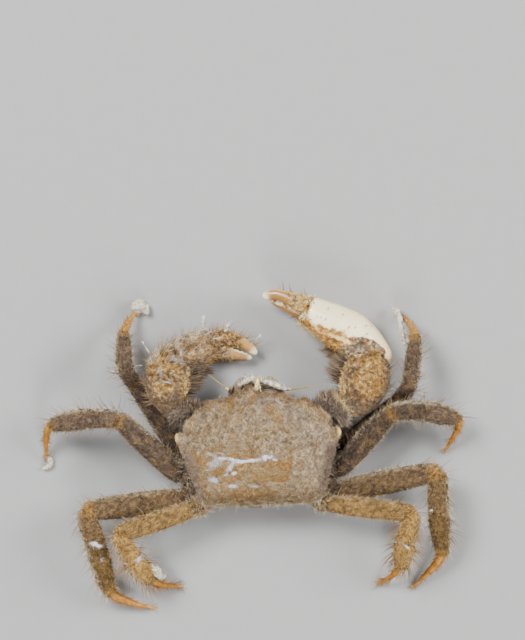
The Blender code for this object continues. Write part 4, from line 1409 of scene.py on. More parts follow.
def leg_tint(plate, leg, colours):
    """Purple brown to ochre along the leg, with golden knees, a frosted outer edge and painted shade
    on the right legs.
    """
    pair = leg.split("_")[0]
    number = plate.segment
    places = plate.points
    if number == 4:
        dull = 0.5 if pair == "p2" else 0.1
        tint = mix(colours.orange, colours.ochre, dull * (0.5 + cloud(places, 0.3, 66)))
        tint = mix(colours.knee, tint, eased(plate.share, 0.0, 0.3))
        tint = mix(tint, colours.yellow, 0.75 * eased(plate.share, 0.65, 1.0))
        tint = tint * (0.85 if pair == "p5" else 1.0)
        tint = speckled(tint, places, 0.35, 19, 0.15)
        plate.tint = speckled(tint, places, 0.14, 43, 0.2)
        return
    ochre, bright = LEG_LOOK[pair][number]
    # Painted shade: the right legs are a tenth darker, and the first three plates of p3_right a third
    # darker.
    if leg.endswith("right"):
        bright = bright * (0.68 if leg == "p3_right" and number < 3 else 0.9)
    tint = bright * mix(colours.lilac, colours.ochre, ochre)
    tint = mix(tint, colours.ochre, 0.2 * eased(cloud(places, 0.5, 16), 0.5, 0.85))
    if number == 1:
        tint = mix(tint, colours.knee, KNEE_COLOUR[pair] * eased(plate.share, 0.82, 0.96))
        tint = tint * (1.0 - 0.4 * (1.0 - eased(plate.share, 0.0, 0.2)))[..., None]
    if number == 2:
        near = 1.0 - eased(plate.share, 0.04, 0.35)
        tint = mix(tint, colours.knee, 0.7 * KNEE_COLOUR[pair] * near)
    if number == 3:
        tint = mix(tint, colours.knee, 0.85 * eased(plate.share, 0.68, 0.93))
    outer = np.cos(plate.turn - bend_side(leg))
    edges = eased(outer, 0.55, 0.95) + 0.5 * eased(-outer, 0.8, 0.98)
    frost = FROST[pair][number] * edges * eased(cloud(places, 0.25, 45), 0.25, 0.65)
    tint = mix(tint, colours.pale, 0.75 * frost)
    tint = speckled(tint, places, 0.3, 17, 0.1)
    tint = speckled(tint, places, 0.1, 18, 0.5)
    worn = patches(places, LEG_WORN.get(leg, []), 0.9) if number in (2, 3) else 0.0 * outer
    worn = worn * (plate.normals()[..., 2] > 0.0)
    plate.tint = mix(tint, colours.worn, worn)
    plate.worn = worn
    plate.frost = frost


def bend_side(leg):
    """The turn on a leg's skin that faces outwards, away from the way it curls."""
    headings = LEG_POSES[leg][0]
    return 0.0 if headings[-1] > headings[0] else math.pi


# Claws


def claw_skin(side, piece, depth, rows, columns, squareness=2.25):
    """A claw piece through its oval sections, rounded off at both ends."""
    sections = np.array(CLAWS[side][piece], float)
    at = end_weighted(rows) * (len(sections) - 1)
    x, y, z, heading, pitch, width, deep = smooth_through(sections, at).T
    turn, tilt = np.radians(heading), np.radians(pitch)
    directions = np.column_stack(
        [np.cos(tilt) * np.cos(turn), np.cos(tilt) * np.sin(turn), np.sin(tilt)]
    )
    centres = np.column_stack([x, y, z])
    run = way_along(centres)
    before, after = CLAW_REACH[piece]
    share = run / run[-1]
    moved = after * eased(share, 0.75, 1.0) - before * (1.0 - eased(share, 0.0, 0.25))
    centres = centres + unit(directions) * moved[:, None]
    run = way_along(centres)
    coat = np.full(rows, 0.15 * depth if piece == "finger" else depth)
    scale = dome(run, run[-1], CLAW_CAPS[piece])
    half = np.maximum(0.5 * width - coat, CLAW_THINNEST) * scale
    flat = np.maximum(0.5 * deep - coat, CLAW_THINNEST) * scale
    skin = Skin(ring_points(centres, directions, half, flat, columns, squareness))
    skin.at = at[:, None] * np.ones((1, columns))
    skin.half = half
    skin.out = 1.0 if side == "right" else -1.0
    return skin


def teeth(skin, start, end, count, height, facing):
    """Blunt teeth along one side of a finger: a row of half waves, strongest where it faces."""
    way = np.clip((skin.at - start) / (end - start), 0.0, 1.0)
    wave = np.abs(np.sin(math.pi * count * way)) * np.sin(math.pi * way) ** 0.3
    toward = np.maximum(np.cos(skin.turn - facing), 0.0) ** 4
    skin.push(height * wave * toward)


def large_palm(depth):
    """The large hand: smooth outside, rough along its lower side, furry at its heel."""
    skin = claw_skin("right", "palm", depth, 160, 104, 2.2)
    edge = skin.half[:, None] * (1.0 - np.cos(skin.turn))
    band = smooth_through(np.array(BARE_BAND), skin.at[:, 0])[:, None]
    ragged = 0.4 * (cloud(skin.points, 0.5, 20) - 0.5) + 0.35 * (cloud(skin.points, 0.18, 21) - 0.5)
    above = np.sin(skin.turn) > 0.0
    band = np.where(above, band, band + 2.4 * eased(skin.at, 0.5, 2.5))
    skin.bare = 1.0 - eased(edge - band + ragged, -0.04, 0.05)
    mouth = eased(skin.at + 0.25 * ragged, 5.72, 5.8) * above
    skin.bare = skin.bare * (1.0 - mouth)
    skin.mouth = mouth * (1.0 - eased(skin.at, 6.9, 7.1))
    skin.bare = np.maximum(skin.bare, eased(skin.at, 7.0, 7.5))
    skin.rough = (1.0 - skin.bare) * eased(skin.at + 0.8 * ragged, 2.5, 3.0)
    skin.push(0.9 * depth * np.maximum(skin.bare, 0.6 * skin.rough))
    grain = 0.12 * (cloud(skin.points, 0.34, 22) - 0.6) + 0.1 * (cloud(skin.points, 0.17, 48) - 0.6)
    skin.push((1.0 - skin.bare) * grain)
    teeth(skin, 7.4, 10.8, 5, 0.1, 0.45 * math.pi)
    return skin


# Cream spots on the furry part of the large hand, in the form of the worn patches.
PALM_SPOTS = [(7.95, 9.8, 1.3, 0.16, -25, 0.95), (5.6, 11.2, 0.7, 0.14, -50, 0.9)]


def large_palm_tint(skin, colours):
    """Ivory with a cream rim, a golden rough zone, a furry heel and tan at the fixed finger."""
    places = skin.points
    ivory = mix(colours.ivory, colours.cream, 0.25 * cloud(places, 1.2, 23))
    rim = eased(np.cos(skin.turn), 0.8, 1.0)
    ivory = mix(ivory, colours.cream, rim * (0.4 + 0.5 * eased(cloud(places, 0.7, 24), 0.35, 0.7)))
    ivory = mix(ivory, colours.cream, 0.75 * (1.0 - eased(skin.at, 0.6, 2.8)))
    tan = mix(colours.tan, colours.rust, 0.6 * cloud(places, 0.6, 25))
    cutting = eased(np.sin(skin.turn), 0.75, 0.98)
    cutting = 0.8 * cutting * eased(cloud(places, 0.3, 58), 0.3, 0.6)
    tan = mix(tan, colours.ivory, np.maximum(0.8 * eased(skin.at, 9.9, 10.9), cutting))
    smooth = mix(ivory, tan, eased(skin.at, 6.7, 7.2))
    gold = mix(colours.gold, colours.rust, 0.8 * eased(cloud(places, 0.4, 26), 0.35, 0.75))
    gold = grainy(gold, places * (0.6, 0.8, 1.0), 0.2, 27, colours.yellow, colours.umber, 0.6)
    gold = speckled(gold, places, 0.12, 28, 0.4)
    lower = eased(-np.cos(skin.turn), 0.8, 0.97) * eased(np.sin(skin.turn), -0.35, -0.1)
    gold = mix(gold, colours.cream, 0.75 * lower * eased(skin.at, 4.0, 5.4))
    gold = mix(gold, colours.ivory, 0.6 * skin.mouth * eased(cloud(places, 0.3, 63), 0.4, 0.6))
    fur = carpus_look(places, colours)
    grey = 0.85 * mix(colours.grey, colours.lilac, 0.8 * cloud(places, 0.3, 49))
    grey = mix(grey, colours.gold, 0.7 * eased(cloud(places, 0.45, 68), 0.4, 0.6))
    grey = grainy(grey, places, 0.2, 51, colours.ivory, colours.umber, 0.8)
    border = eased(skin.at, 1.0, 1.6) * (1.0 - eased(skin.at, 2.9, 3.3))
    fur = mix(fur, grey, 0.75 * border)
    fur = mix(fur, gold, skin.rough)
    under = eased(-np.sin(skin.turn), 0.1, 0.4)
    fur = mix(fur, mix(colours.lilac, colours.grey, cloud(places, 0.4, 52)), under)
    spot = patches(places, PALM_SPOTS) * (1.0 - under)
    fur = mix(fur, colours.cream, spot)
    skin.tint = mix(fur, smooth, skin.bare)
    skin.cover = (1.0 - skin.bare) * (1.0 - eased(spot, 0.4, 0.7))
    skin.cover = skin.cover * (1.0 - 0.7 * skin.rough * (1.0 - under))


def finger_skin(side, depth):
    skin = claw_skin(side, "finger", depth, 100, 64, 2.1)
    facing = -0.5 * math.pi if side == "right" else 0.0
    teeth(skin, 0.8, 4.4, 5, 0.08, facing)
    return skin


def finger_tint(skin, side, colours):
    """Tan with streaks, pale along the outer edge and at the tip, furry and rusty at the base."""
    places = skin.points
    tan = mix(colours.tan, colours.rust, 0.5 * cloud(places, 0.5, 29))
    outer = eased(skin.out * np.cos(skin.turn), 0.5, 0.95)
    tan = mix(tan, colours.cream, 0.6 * outer * (0.4 + 0.6 * cloud(places, 0.4, 53)))
    if side == "left":
        tan = mix(tan, colours.cream, 0.15)
    tan = mix(tan, colours.ivory, 0.9 * eased(skin.at, 3.4, 4.6))
    paler = colours.cream if side == "right" else colours.beige
    fur = mix(colours.gold, paler, cloud(places, 0.3, 30))
    fur = grainy(fur, places, 0.2, 54, colours.cream, colours.umber, 0.7)
    reach = 1.3 if side == "right" else 2.2
    skin.cover = 1.0 - eased(skin.at + 1.6 * (cloud(places, 0.4, 31) - 0.5), reach - 0.4, reach + 0.4)
    skin.tint = mix(tan, fur, skin.cover)


def small_palm(depth):
    """The small hand: furry all over but for its fixed finger, with a pale outer rim."""
    skin = claw_skin("left", "palm", depth, 130, 88, 2.2)
    skin.bare = eased(skin.at + 1.2 * (cloud(skin.points, 0.4, 32) - 0.5), 7.6, 8.6)
    grain = 0.14 * (cloud(skin.points, 0.34, 33) - 0.6) + 0.12 * (cloud(skin.points, 0.18, 55) - 0.6)
    skin.push((1.0 - skin.bare) * grain + 0.7 * depth * skin.bare)
    teeth(skin, 7.4, 11.0, 6, 0.1, math.pi)
    return skin


def small_palm_tint(skin, colours):
    """Grey brown with golden streaks, a pale outer rim and painted shade on the inner side, and tan
    on the fixed finger.
    """
    places = skin.points
    fur = mix(colours.ochre, colours.grey, 0.25 + 0.6 * eased(cloud(places, 0.6, 34), 0.3, 0.65))
    fur = mix(fur, colours.gold, 0.6 * eased(cloud(places, 0.3, 36), 0.45, 0.7))
    fur = mix(fur, carpus_look(places, colours), 1.0 - eased(skin.at, 1.6, 2.6))
    rim = eased(skin.out * np.cos(skin.turn), 0.55, 0.92)
    fur = mix(fur, colours.pale, 0.6 * rim * (1.0 - eased(skin.at, 4.8, 6.2)))
    fur = grainy(fur, places * (0.7, 0.7, 1.0), 0.24, 56, colours.pale, colours.umber, 0.6)
    fur = speckled(fur, places, 0.14, 35, 0.4)
    # Painted shade: dark brown over the inner side, which faces the body.
    inside = eased(-skin.out * np.cos(skin.turn), 0.45, 0.85) * (1.0 - skin.bare)
    fur = mix(fur, mix(colours.umber, colours.gold, cloud(places, 0.4, 65)), 0.6 * inside)
    spots = patches(places, CLAW_WORN["left"], 0.9)
    fur = mix(fur, colours.worn, 0.7 * spots)
    tan = mix(colours.tan, colours.beige, 0.8 * cloud(places, 0.6, 37))
    toothed = eased(-np.cos(skin.turn), 0.6, 0.95)
    tan = mix(tan, colours.ivory, np.maximum(0.8 * toothed, 0.8 * eased(skin.at, 10.0, 11.0)))
    skin.tint = mix(fur, tan, skin.bare)
    skin.cover = 1.0 - skin.bare


# Worn arcs on the claws, in the form of the worn patches.
CLAW_WORN = {
    "left": [
        (-7.6, 8.3, 0.8, 0.12, -14, 0.9), (-9.15, 7.5, 0.4, 0.1, 55, 0.6),
        (-8.5, 6.3, 0.65, 0.07, -14, 0.7), (-8.9, 7.0, 0.5, 0.06, 80, 0.5),
    ],
    "right": [
        (8.1, 5.0, 1.5, 0.2, -75, 0.9),
        (8.24, 3.4, 1.75, 0.22, -47, 1.0),
        (11.7, 8.0, 0.5, 0.1, -45, 0.4),
    ],
}


def carpus_look(places, colours):
    """Golden brown with lilac areas, and orange, pale and dark grains."""
    fur = mix(colours.ochre, colours.gold, 0.2 + 0.4 * cloud(places, 0.5, 67))
    fur = mix(fur, np.array(colours.lilac) * 1.4, 0.9 * eased(cloud(places, 1.1, 38), 0.34, 0.62))
    fur = mix(fur, colours.rust, 0.6 * eased(cloud(places, 0.35, 39), 0.45, 0.7))
    fur = grainy(fur, places, 0.3, 40, colours.cream, colours.umber, 0.3)
    fur = grainy(fur, places, 0.17, 59, colours.cream, colours.umber, 0.55)
    return 0.95 * speckled(fur, places, 0.1, 41, 0.4)


def carpus_tint(skin, side, colours):
    """The arm's look, with a cream ridge along the inner side and a few worn arcs."""
    places = skin.points
    fur = carpus_look(places, colours)
    ahead = -skin.out * np.cos(skin.turn)
    above = eased(np.sin(skin.turn), 0.0, 0.25)
    inner = np.exp(-(((ahead - 0.93) / 0.07) ** 2)) * above
    fur = mix(fur, colours.cream, 0.8 * inner * (0.5 + 0.5 * cloud(places, 0.25, 57)))
    shade = np.maximum(eased(-ahead, 0.6, 0.92) * above, 0.85 * eased(0.55 - skin.share, 0.0, 0.3))
    if side == "left":
        stripe = np.exp(-(((ahead - 0.45) / 0.16) ** 2)) * above * eased(0.75 - skin.share, 0.0, 0.2)
        shade = np.maximum(shade, stripe)
    fur = mix(fur, np.array(colours.lilac) * 1.3, 0.8 * shade)
    spots = patches(places, CLAW_WORN[side], 0.9)
    skin.tint = mix(fur, colours.cream if side == "right" else colours.worn, 0.8 * spots)
    skin.cover = 1.0 - eased(spots, 0.45, 0.75)


def merus_tint(skin, colours):
    """Dark purple grey, with a pale collar at its far end and cream arcs on the large claw's."""
    places = skin.points
    fur = mix(colours.lilac, colours.grey, 0.1 + 0.3 * cloud(places, 0.6, 42))
    fur = speckled(fur, places, 0.2, 43, 0.35)
    fur = mix(fur, colours.cream, 0.8 * patches(places, CLAW_WORN["right"], 0.9))
    collar = eased(skin.share, 0.8, 0.9) * eased(np.sin(skin.turn), 0.3, 0.8)
    skin.tint = mix(fur, colours.pale, 0.6 * collar)
    skin.cover = 1.0 - 0.4 * collar


# Pieces


class CrabPiece:
    """What every operator here shares."""

    bl_options = {"REGISTER"}

    def read(self, context):
        scene = context.scene
        coat = scene.crab_coat
        self.depth = coat.depth / MM
        self.felt_length = coat.felt_length / MM
        self.felt_width = coat.felt_width / MM
        self.felt_density = coat.felt_density
        self.bristle_length = coat.bristle_length / MM
        self.bristle_width = coat.bristle_width / MM
        self.colours = scene.crab_colours
        finishes = bpy.data.materials
        self.felt = finishes.get("felted shell") or felt_finish()
        self.fur = finishes.get("coat") or coat_finish()
        self.horn = finishes.get("bare horn") or horn_finish()
        self.ivory = finishes.get("ivory") or ivory_finish()

    def felt_hair(self, long, lift=(18.0, 55.0), sweep=45.0):
        mean = self.felt_length * long
        width = self.felt_width
        return Hair((0.7 * mean, 1.35 * mean), width, lift, sweep, root=0.6, tip=1.4)

    def fuzz_hair(self, low, high, lift=(30.0, 75.0), sweep=50.0, width=0.03):
        return Hair((low, high), width, lift, sweep, 0.15, 2, 3, 0.85, 1.5)

    def bristle_hair(self, low, high):
        return Hair((low, high), self.bristle_width, (45.0, 85.0), 25.0, 0.3, 4, 3, 0.9, 1.25)


class CRAB_OT_shell(CrabPiece, bpy.types.Operator):
    """Makes the shell and the coat on it"""

    bl_idname = "crab.shell"
    bl_label = "Shell"

    def execute(self, context):
        self.read(context)
        rng = np.random.default_rng(11)
        skin = shell_skin(self.depth)
        shell_tint(skin, self.colours)
        top = skin.top * (1.0 - 0.9 * eased(skin.worn, 0.45, 0.85))
        coat = Build()
        roots = scattered(skin, 210.0, rng, top, FORWARD)
        hair = self.felt_hair(0.62, (30.0, 80.0), 40.0)
        coat.add_hairs(swirled(roots, 1.3, 61), hair, rng, vary=0.36)
        edge = np.exp(-(((skin.shares - 0.99) / 0.02) ** 2)) * (0.25 + skin.top)
        behind = edge * eased(-skin.points[..., 1], 4.8, 5.6)
        roots = scattered(skin, 26.0, rng, behind, (0.0, -1.0, 0.0))
        roots.tint = mix(roots.tint, self.colours.pale, 0.6)
        hair = Hair((0.35, 0.75), 0.035, (-10.0, 25.0), 25.0, 0.1, 4, 3, 0.9, 1.2)
        coat.add_hairs(roots, hair, rng)
        ahead = edge * eased(skin.points[..., 1], 0.8, 2.0)
        hair = Hair((0.18, 0.42), 0.05, (0.0, 60.0), 70.0, 0.2, 2, 3, 0.7, 1.4)
        coat.cover(skin, 110.0, hair, rng, ahead, FORWARD_AND_UP, vary=0.4)
        add_piece("shell_coat", coat, [self.fur])
        wisps = Build()
        roots = scattered(skin, 34.0, rng, top, FORWARD_AND_UP)
        roots.tint = mix(roots.tint, self.colours.pale, 0.22 * rng.random(len(roots)))
        hair = self.fuzz_hair(0.22, 0.5, (8.0, 40.0), 35.0, 0.035)
        wisps.add_hairs(swirled(roots, 1.0, 62), hair, rng, vary=0.38)
        add_piece("shell_wisps", wisps, [self.fur])
        # Painted shade on the shell's skin under its coat.
        shade_under_coat(skin, top)
        plate = Build()
        plate.add_skin(skin)
        add_piece("shell", plate, [self.felt], ["carapace"])
        return {"FINISHED"}


class CRAB_OT_belly(CrabPiece, bpy.types.Operator):
    """Makes the chest and the abdomen, with their coat"""

    bl_idname = "crab.belly"
    bl_label = "Chest and abdomen"

    def tint(self, skin, seed):
        colours = self.colours
        tint = mix(colours.lilac, colours.grey, 0.45 * cloud(skin.points, 0.9, seed))
        tint = speckled(tint, skin.points, 0.3, seed + 1, 0.3)
        skin.tint = mix(tint, colours.ochre, 0.5 * eased(cloud(skin.points, 0.5, seed + 2), 0.6, 0.9))

    def execute(self, context):
        self.read(context)
        rng = np.random.default_rng(12)
        depth = self.depth
        chest = chest_skin(depth)
        abdomen = abdomen_skin(depth)
        for seed, skin in ((50, chest), (60, abdomen)):
            self.tint(skin, seed)
        body = Build()
        body.add_skin(chest)
        add_piece("chest", body, [self.felt], ["thorax"])
        plates = Build()
        plates.add_skin(abdomen)
        add_piece("abdomen_plates", plates, [self.felt], ["abdomen"])

        coat = Build()
        z = chest.points[..., 2]
        bed = (z > 0.6) * (z < 0.8) * (np.abs(chest.points[..., 0]) < 1.2)
        outside = (1.0 - eased(z, 3.3, 3.7)) * (1.0 - 0.9 * bed)
        walls = outside * eased(z, 0.3, 1.0)
        coat.cover(chest, 90.0, self.felt_hair(0.9, (15.0, 45.0), 60.0), rng, outside, FORWARD)
        coat.cover(chest, 7.0, self.fuzz_hair(0.3, 0.6), rng, walls, FORWARD)
        add_piece("chest_coat", coat, [self.fur])
        coat = Build()
        coat.cover(abdomen, 110.0, self.felt_hair(0.7, (10.0, 35.0), 60.0), rng)
        edges = np.abs(np.cos(abdomen.turn)) ** 6
        roots = scattered(abdomen, 30.0, rng, edges)
        roots.tint = mix(roots.tint, self.colours.pale, 0.4)
        coat.add_hairs(roots, self.fuzz_hair(0.25, 0.5, (10.0, 50.0)), rng)
        add_piece("abdomen_coat", coat, [self.fur])
        return {"FINISHED"}


class CRAB_OT_mouth(CrabPiece, bpy.types.Operator):
    """Makes the outer mouthparts and the small parts before the shell"""

    bl_idname = "crab.mouth"
    bl_label = "Mouthparts"

    def execute(self, context):
        self.read(context)
        colours = self.colours
        rng = np.random.default_rng(13)
        for side, word in ((-1.0, "left"), (1.0, "right")):
            skins = mouthpart_skins(side, self.depth)
            arrange(skins)
            for seed, skin in enumerate(skins):
                tint = mix(colours.beige, colours.grey, cloud(skin.points, 0.7, 70 + seed))
                middle = 1.0 - eased(np.abs(skin.points[..., 0]), 0.1, 0.55)
                skin.tint = mix(tint * 0.8, colours.yellow, 0.8 * middle)
            plates = Build()
            coat = Build()
            for skin in skins:
                plates.add_skin(skin)
            coat.cover(skins[0], 80.0, self.felt_hair(0.7, (10.0, 40.0), 50.0), rng)
            for skin in skins[1:]:
                coat.cover(skin, 30.0, self.fuzz_hair(0.15, 0.35), rng)
            node = f"mouthpart_{word}"
            add_piece(f"mouthpart_plates_{word}", plates, [self.felt], [node])
            add_piece(f"mouthpart_coat_{word}", coat, [self.fur])

        skins = []
        for knots, name in FRONT_PARTS:
            skin = sausage(knots, 36, 24)
            skin.push(0.03 * (cloud(skin.points, 0.2, 75) - 0.5))
            tint = np.array(getattr(colours, name)) * np.ones(skin.points.shape)
            tint = speckled(tint, skin.points, 0.3, 76, 0.3)
            skin.tint = speckled(tint, skin.points, 0.12, 77, 0.4)
            skins.append(skin)
        arrange(skins)
        parts = Build()
        for skin in skins:
            parts.add_skin(skin)
            hair = self.felt_hair(0.8, (15.0, 60.0), 90.0)
            parts.cover(skin, 60.0, hair, rng, lie=(0.0, 1.0, 0.2), finish=1, vary=0.35)
            hair = self.fuzz_hair(0.25, 0.65, (10.0, 60.0), 70.0)
            parts.cover(skin, 14.0, hair, rng, lie=(0.0, 1.0, 0.2), finish=1)
        add_piece("front_parts", parts, [self.horn, self.fur])
        return {"FINISHED"}


class CRAB_OT_eyes(CrabPiece, bpy.types.Operator):
    """Makes the small eyes on their stalks"""

    bl_idname = "crab.eyes"
    bl_label = "Eyes"

    def execute(self, context):
        self.read(context)
        colours = self.colours
        gloss = eye_finish()
        rng = np.random.default_rng(14)
        for side, word in ((-1.0, "left"), (1.0, "right")):
            x, y, z = EYE_PLACE
            stalk = sausage(
                [(side * a, b, c, w) for (a, b, c), w in zip(EYE_STALK, (0.5, 0.6, 0.66))], 30, 28
            )
            stalk.tint = mix(colours.lilac, colours.beige, cloud(stalk.points, 0.3, 80))
            ball = sausage(
                [
                    (side * (x - 0.1), y - 0.05, z, 2.0 * EYE_BALL),
                    (side * (x + 0.12), y + 0.1, z + 0.02, 1.9 * EYE_BALL),
                ],
                40,
                36,
                EYE_BALL,
            )
            ball.tint = mix(colours.grey, colours.umber, 0.3 + 0.45 * eased(ball.share, 0.4, 0.9))
            ball.finish = 1
            arrange([stalk, ball])
            eye = Build()
            eye.add_skin(stalk)
            eye.add_skin(ball)
            eye.cover(stalk, 60.0, self.felt_hair(0.7), rng, finish=2)
            add_piece(f"eye_ball_{word}", eye, [self.horn, gloss, self.fur], [f"eye_{word}"])
        return {"FINISHED"}


class CRAB_OT_feelers(CrabPiece, bpy.types.Operator):
    """Makes the feelers: a jointed base and a thin ringed whip"""

    bl_idname = "crab.feelers"
    bl_label = "Feelers"

    def execute(self, context):
        self.read(context)
        rng = np.random.default_rng(15)
        for node, line in FEELERS.items():
            line = np.array(line)
            whip = sausage(np.column_stack([line, FEELER_WIDTHS]), 160, 14, 0.05)
            rings = np.abs(np.sin(FEELER_RINGS * math.pi * whip.share))
            whip.push(0.012 * rings * eased(whip.share, 0.25, 0.4))
            tone = 0.85 + 0.3 * cloud(whip.points, 0.3, 90)
            whip.tint = np.array(self.colours.feeler) * tone[..., None]
            middle = 0.5 * (line[0] + line[1])
            base = sausage([(*line[0], 0.34), (*middle, 0.34), (*line[1], 0.22)], 30, 20)
            base.tint = mix(self.colours.ochre, self.colours.pale, cloud(base.points, 0.3, 91))
            arrange([whip, base])
            made = Build()
            made.add_skin(whip)
            made.add_skin(base)
            made.cover(whip, 8.0, self.fuzz_hair(0.12, 0.3, (30.0, 70.0), 30.0, 0.02), rng)
            add_piece(node + "_whip", made, [self.horn], [node])
        return {"FINISHED"}


class CRAB_OT_legs(CrabPiece, bpy.types.Operator):
    """Makes the eight walking legs, their coats and their bristles"""

    bl_idname = "crab.legs"
    bl_label = "Legs"

    def coat_leg(self, leg, plates, rng):
        """The short coat, the frost along the edges and the long bristles."""
        pair = leg.split("_")[0]
        colours = self.colours
        outer = bend_side(leg)
        inner = outer + math.pi
        coat = Build()
        for plate in plates[:4]:
            number = plate.segment
            length = plate.length()
            hair = self.felt_hair(0.9)
            coat.cover(plate, self.felt_density, hair, rng, 1.0 - plate.worn, vary=0.48)
            coat.cover(plate, 12.0, self.fuzz_hair(0.25, 0.5), rng)
            if number == 0:
                roots = scattered(plate, 34.0, rng)
                roots.tint = mix(roots.tint, colours.pale, rng.random(len(roots)))
                coat.add_hairs(roots, self.fuzz_hair(0.4, 0.85, (30.0, 80.0), 180.0, 0.04), rng)
                continue
            roots = scattered(plate, 90.0, rng, plate.frost)
            roots.tint = mix(roots.tint, colours.pale, 0.4 + 0.6 * rng.random(len(roots)))
            coat.add_hairs(roots, self.fuzz_hair(0.14, 0.36, (25.0, 85.0), 180.0, 0.045), rng)
            reach = self.bristle_length * (0.6 if number == 1 else 1.0)
            dense = 4.5 if number == 1 else 8.0
            turns = (outer, outer, outer + 0.6, outer - 0.6)
            roots = in_rows(plate, turns, int(dense * length), rng)
            roots.tint = mix(roots.tint, colours.bristle, 0.8)
            coat.add_hairs(roots, self.bristle_hair(0.3 * reach, reach), rng, vary=0.4)
            roots = in_rows(plate, (inner,), int(0.6 * dense * length), rng, 0.3)
            roots.tint = mix(roots.tint, colours.bristle, 0.8)
            coat.add_hairs(roots, self.bristle_hair(0.3 * reach, 0.7 * reach), rng)
            roots = in_rows(plate, (outer, inner), int(26.0 * length), rng, 0.4)
            roots.tint = mix(roots.tint, colours.pale, 0.25)
            coat.add_hairs(roots, self.fuzz_hair(0.22, 0.55, (35.0, 85.0), 40.0, 0.035), rng)
            if pair in ("p4", "p5") and number > 1:
                roots = in_rows(plate, (outer,), int(9.0 * length), rng, 0.35)
                roots.tint = mix(roots.tint, colours.pale, 0.7)
                coat.add_hairs(roots, self.fuzz_hair(0.5, 1.0, (35.0, 70.0), 50.0, 0.045), rng)
            if pair == "p5" and number > 1:
                count = int((18.0 if number == 3 else 7.0) * length)
                roots = in_rows(plate, (outer, inner), count, rng, 0.25)
                roots.tint = 0.7 * mix(roots.tint, colours.rust, 0.6)
                comb = Hair((1.0, 1.7), 0.065, (40.0, 70.0), 12.0, 0.45, 5, 3, 0.8, 1.1)
                coat.add_hairs(roots, comb, rng)
        return coat

    def coat_tip(self, leg, tip, rng):
        """Short down to the middle of a leg tip, and longer hairs along both its sides."""
        last = leg.startswith("p5")
        coat = Build()
        keep = 1.0 - eased(tip.share, 0.2, 0.65)
        coat.cover(tip, 120.0, self.felt_hair(0.7, (12.0, 40.0), 30.0), rng, keep, vary=0.35)
        count = int((34 if last else 24) * tip.length())
        roots = in_rows(tip, (0.0, math.pi), count, rng, 0.4, 0.03, 0.88)
        roots.tint = mix(roots.tint, self.colours.ochre, 0.2)
        hair = Hair((0.25, 1.1 if last else 0.75), 0.05, (25.0, 65.0), 25.0, 0.2, 4, 3, 0.8, 1.1)
        coat.add_hairs(roots, hair, rng)
        return coat

    def execute(self, context):
        self.read(context)
        for seed, leg in enumerate(LEG_POSES):
            rng = np.random.default_rng(100 + seed)
            plates = leg_skins(leg, self.depth)
            arrange(plates)
            for plate in plates:
                leg_tint(plate, leg, self.colours)
            coat = self.coat_leg(leg, plates, rng)
            made = Build()
            for plate in plates[:4]:
                # Painted shade on each plate under its coat.
                shade_under_coat(plate, 1.0 - plate.worn)
                made.add_skin(plate)
            nodes = [f"{leg}_{segment}" for segment in SEGMENTS]
            add_piece(f"{leg}_plates", made, [self.felt], nodes[:4])
            add_piece(f"{leg}_coat", coat, [self.fur])
            tip = Build()
            tip.add_skin(plates[4])
            add_piece(f"{leg}_tip", tip, [self.horn], nodes[4:])
            down = self.coat_tip(leg, plates[4], rng)
            add_piece(f"{leg}_tip_coat", down, [self.fur])
        return {"FINISHED"}


# Rows, columns and lump height of the grids of the plain arm pieces.
ARM_GRIDS = {"coxa": (40, 48, 0.05), "merus": (70, 72, 0.08), "carpus": (110, 96, 0.14)}
# Their short coat: tufts for each square mm, and how long they are.
ARM_COAT = {"coxa": (90.0, 1.0), "merus": (150.0, 1.4), "carpus": (200.0, 0.75)}
# Bristles along the outer edge: piece, count, start and end as shares of its length, shortest,
# longest, scatter round the edge and width.
BRISTLE_ROWS = {
    "right": [
        ("finger", 12, 0.05, 0.5, 0.5, 1.1, 0.3, 0.075),
        ("carpus", 34, 0.3, 1.0, 0.6, 1.5, 0.3, 0.06),
        ("palm", 8, 0.0, 0.12, 0.7, 1.5, 0.3, 0.06),
        ("merus", 14, 0.2, 0.9, 0.5, 1.1, 0.3, 0.06),
    ],
    "left": [
        ("palm", 60, 0.02, 0.56, 0.6, 1.6, 0.3, 0.07),
        ("finger", 34, 0.0, 0.7, 0.6, 1.5, 0.35, 0.07),
        ("carpus", 36, 0.35, 1.0, 0.5, 1.3, 0.3, 0.045),
        ("merus", 14, 0.2, 0.9, 0.5, 1.1, 0.3, 0.075),
    ],
}
# Soft brushes on the inner side: piece, middle, radius, the way the hairs point, hairs for each
# square mm, shortest, longest and brightness.
BRUSHES = {
    "right": [
        ("palm", (8.4, 8.0, 1.2), 1.5, (-1.0, 0.1, 0.15), 80.0, 0.9, 1.7, 1.0),
        ("carpus", (8.2, 6.9, 2.6), 1.7, (-1.0, 0.1, 0.15), 90.0, 1.0, 2.0, 1.0),
        ("carpus", (8.2, 5.2, 2.2), 1.4, (-1.0, 0.3, 0.0), 80.0, 0.7, 1.3, 0.9),
        ("merus", (7.4, 4.4, 2.9), 1.9, (-0.5, 0.8, 0.3), 50.0, 0.3, 0.7, 1.6),
        ("merus", (8.6, 3.4, 3.4), 1.3, (-0.3, 0.5, 0.6), 50.0, 0.3, 0.7, 1.6),
    ],
    "left": [
        ("palm", (-6.5, 7.2, 1.7), 1.8, (0.8, -0.6, 0.1), 80.0, 0.7, 1.5, 0.68),
        ("carpus", (-6.5, 6.3, 2.6), 1.7, (1.0, -0.2, 0.0), 80.0, 0.9, 1.8, 0.62),
        ("merus", (-6.9, 4.4, 2.8), 1.8, (0.5, 0.8, 0.3), 50.0, 0.4, 0.9, 1.3),
    ],
}


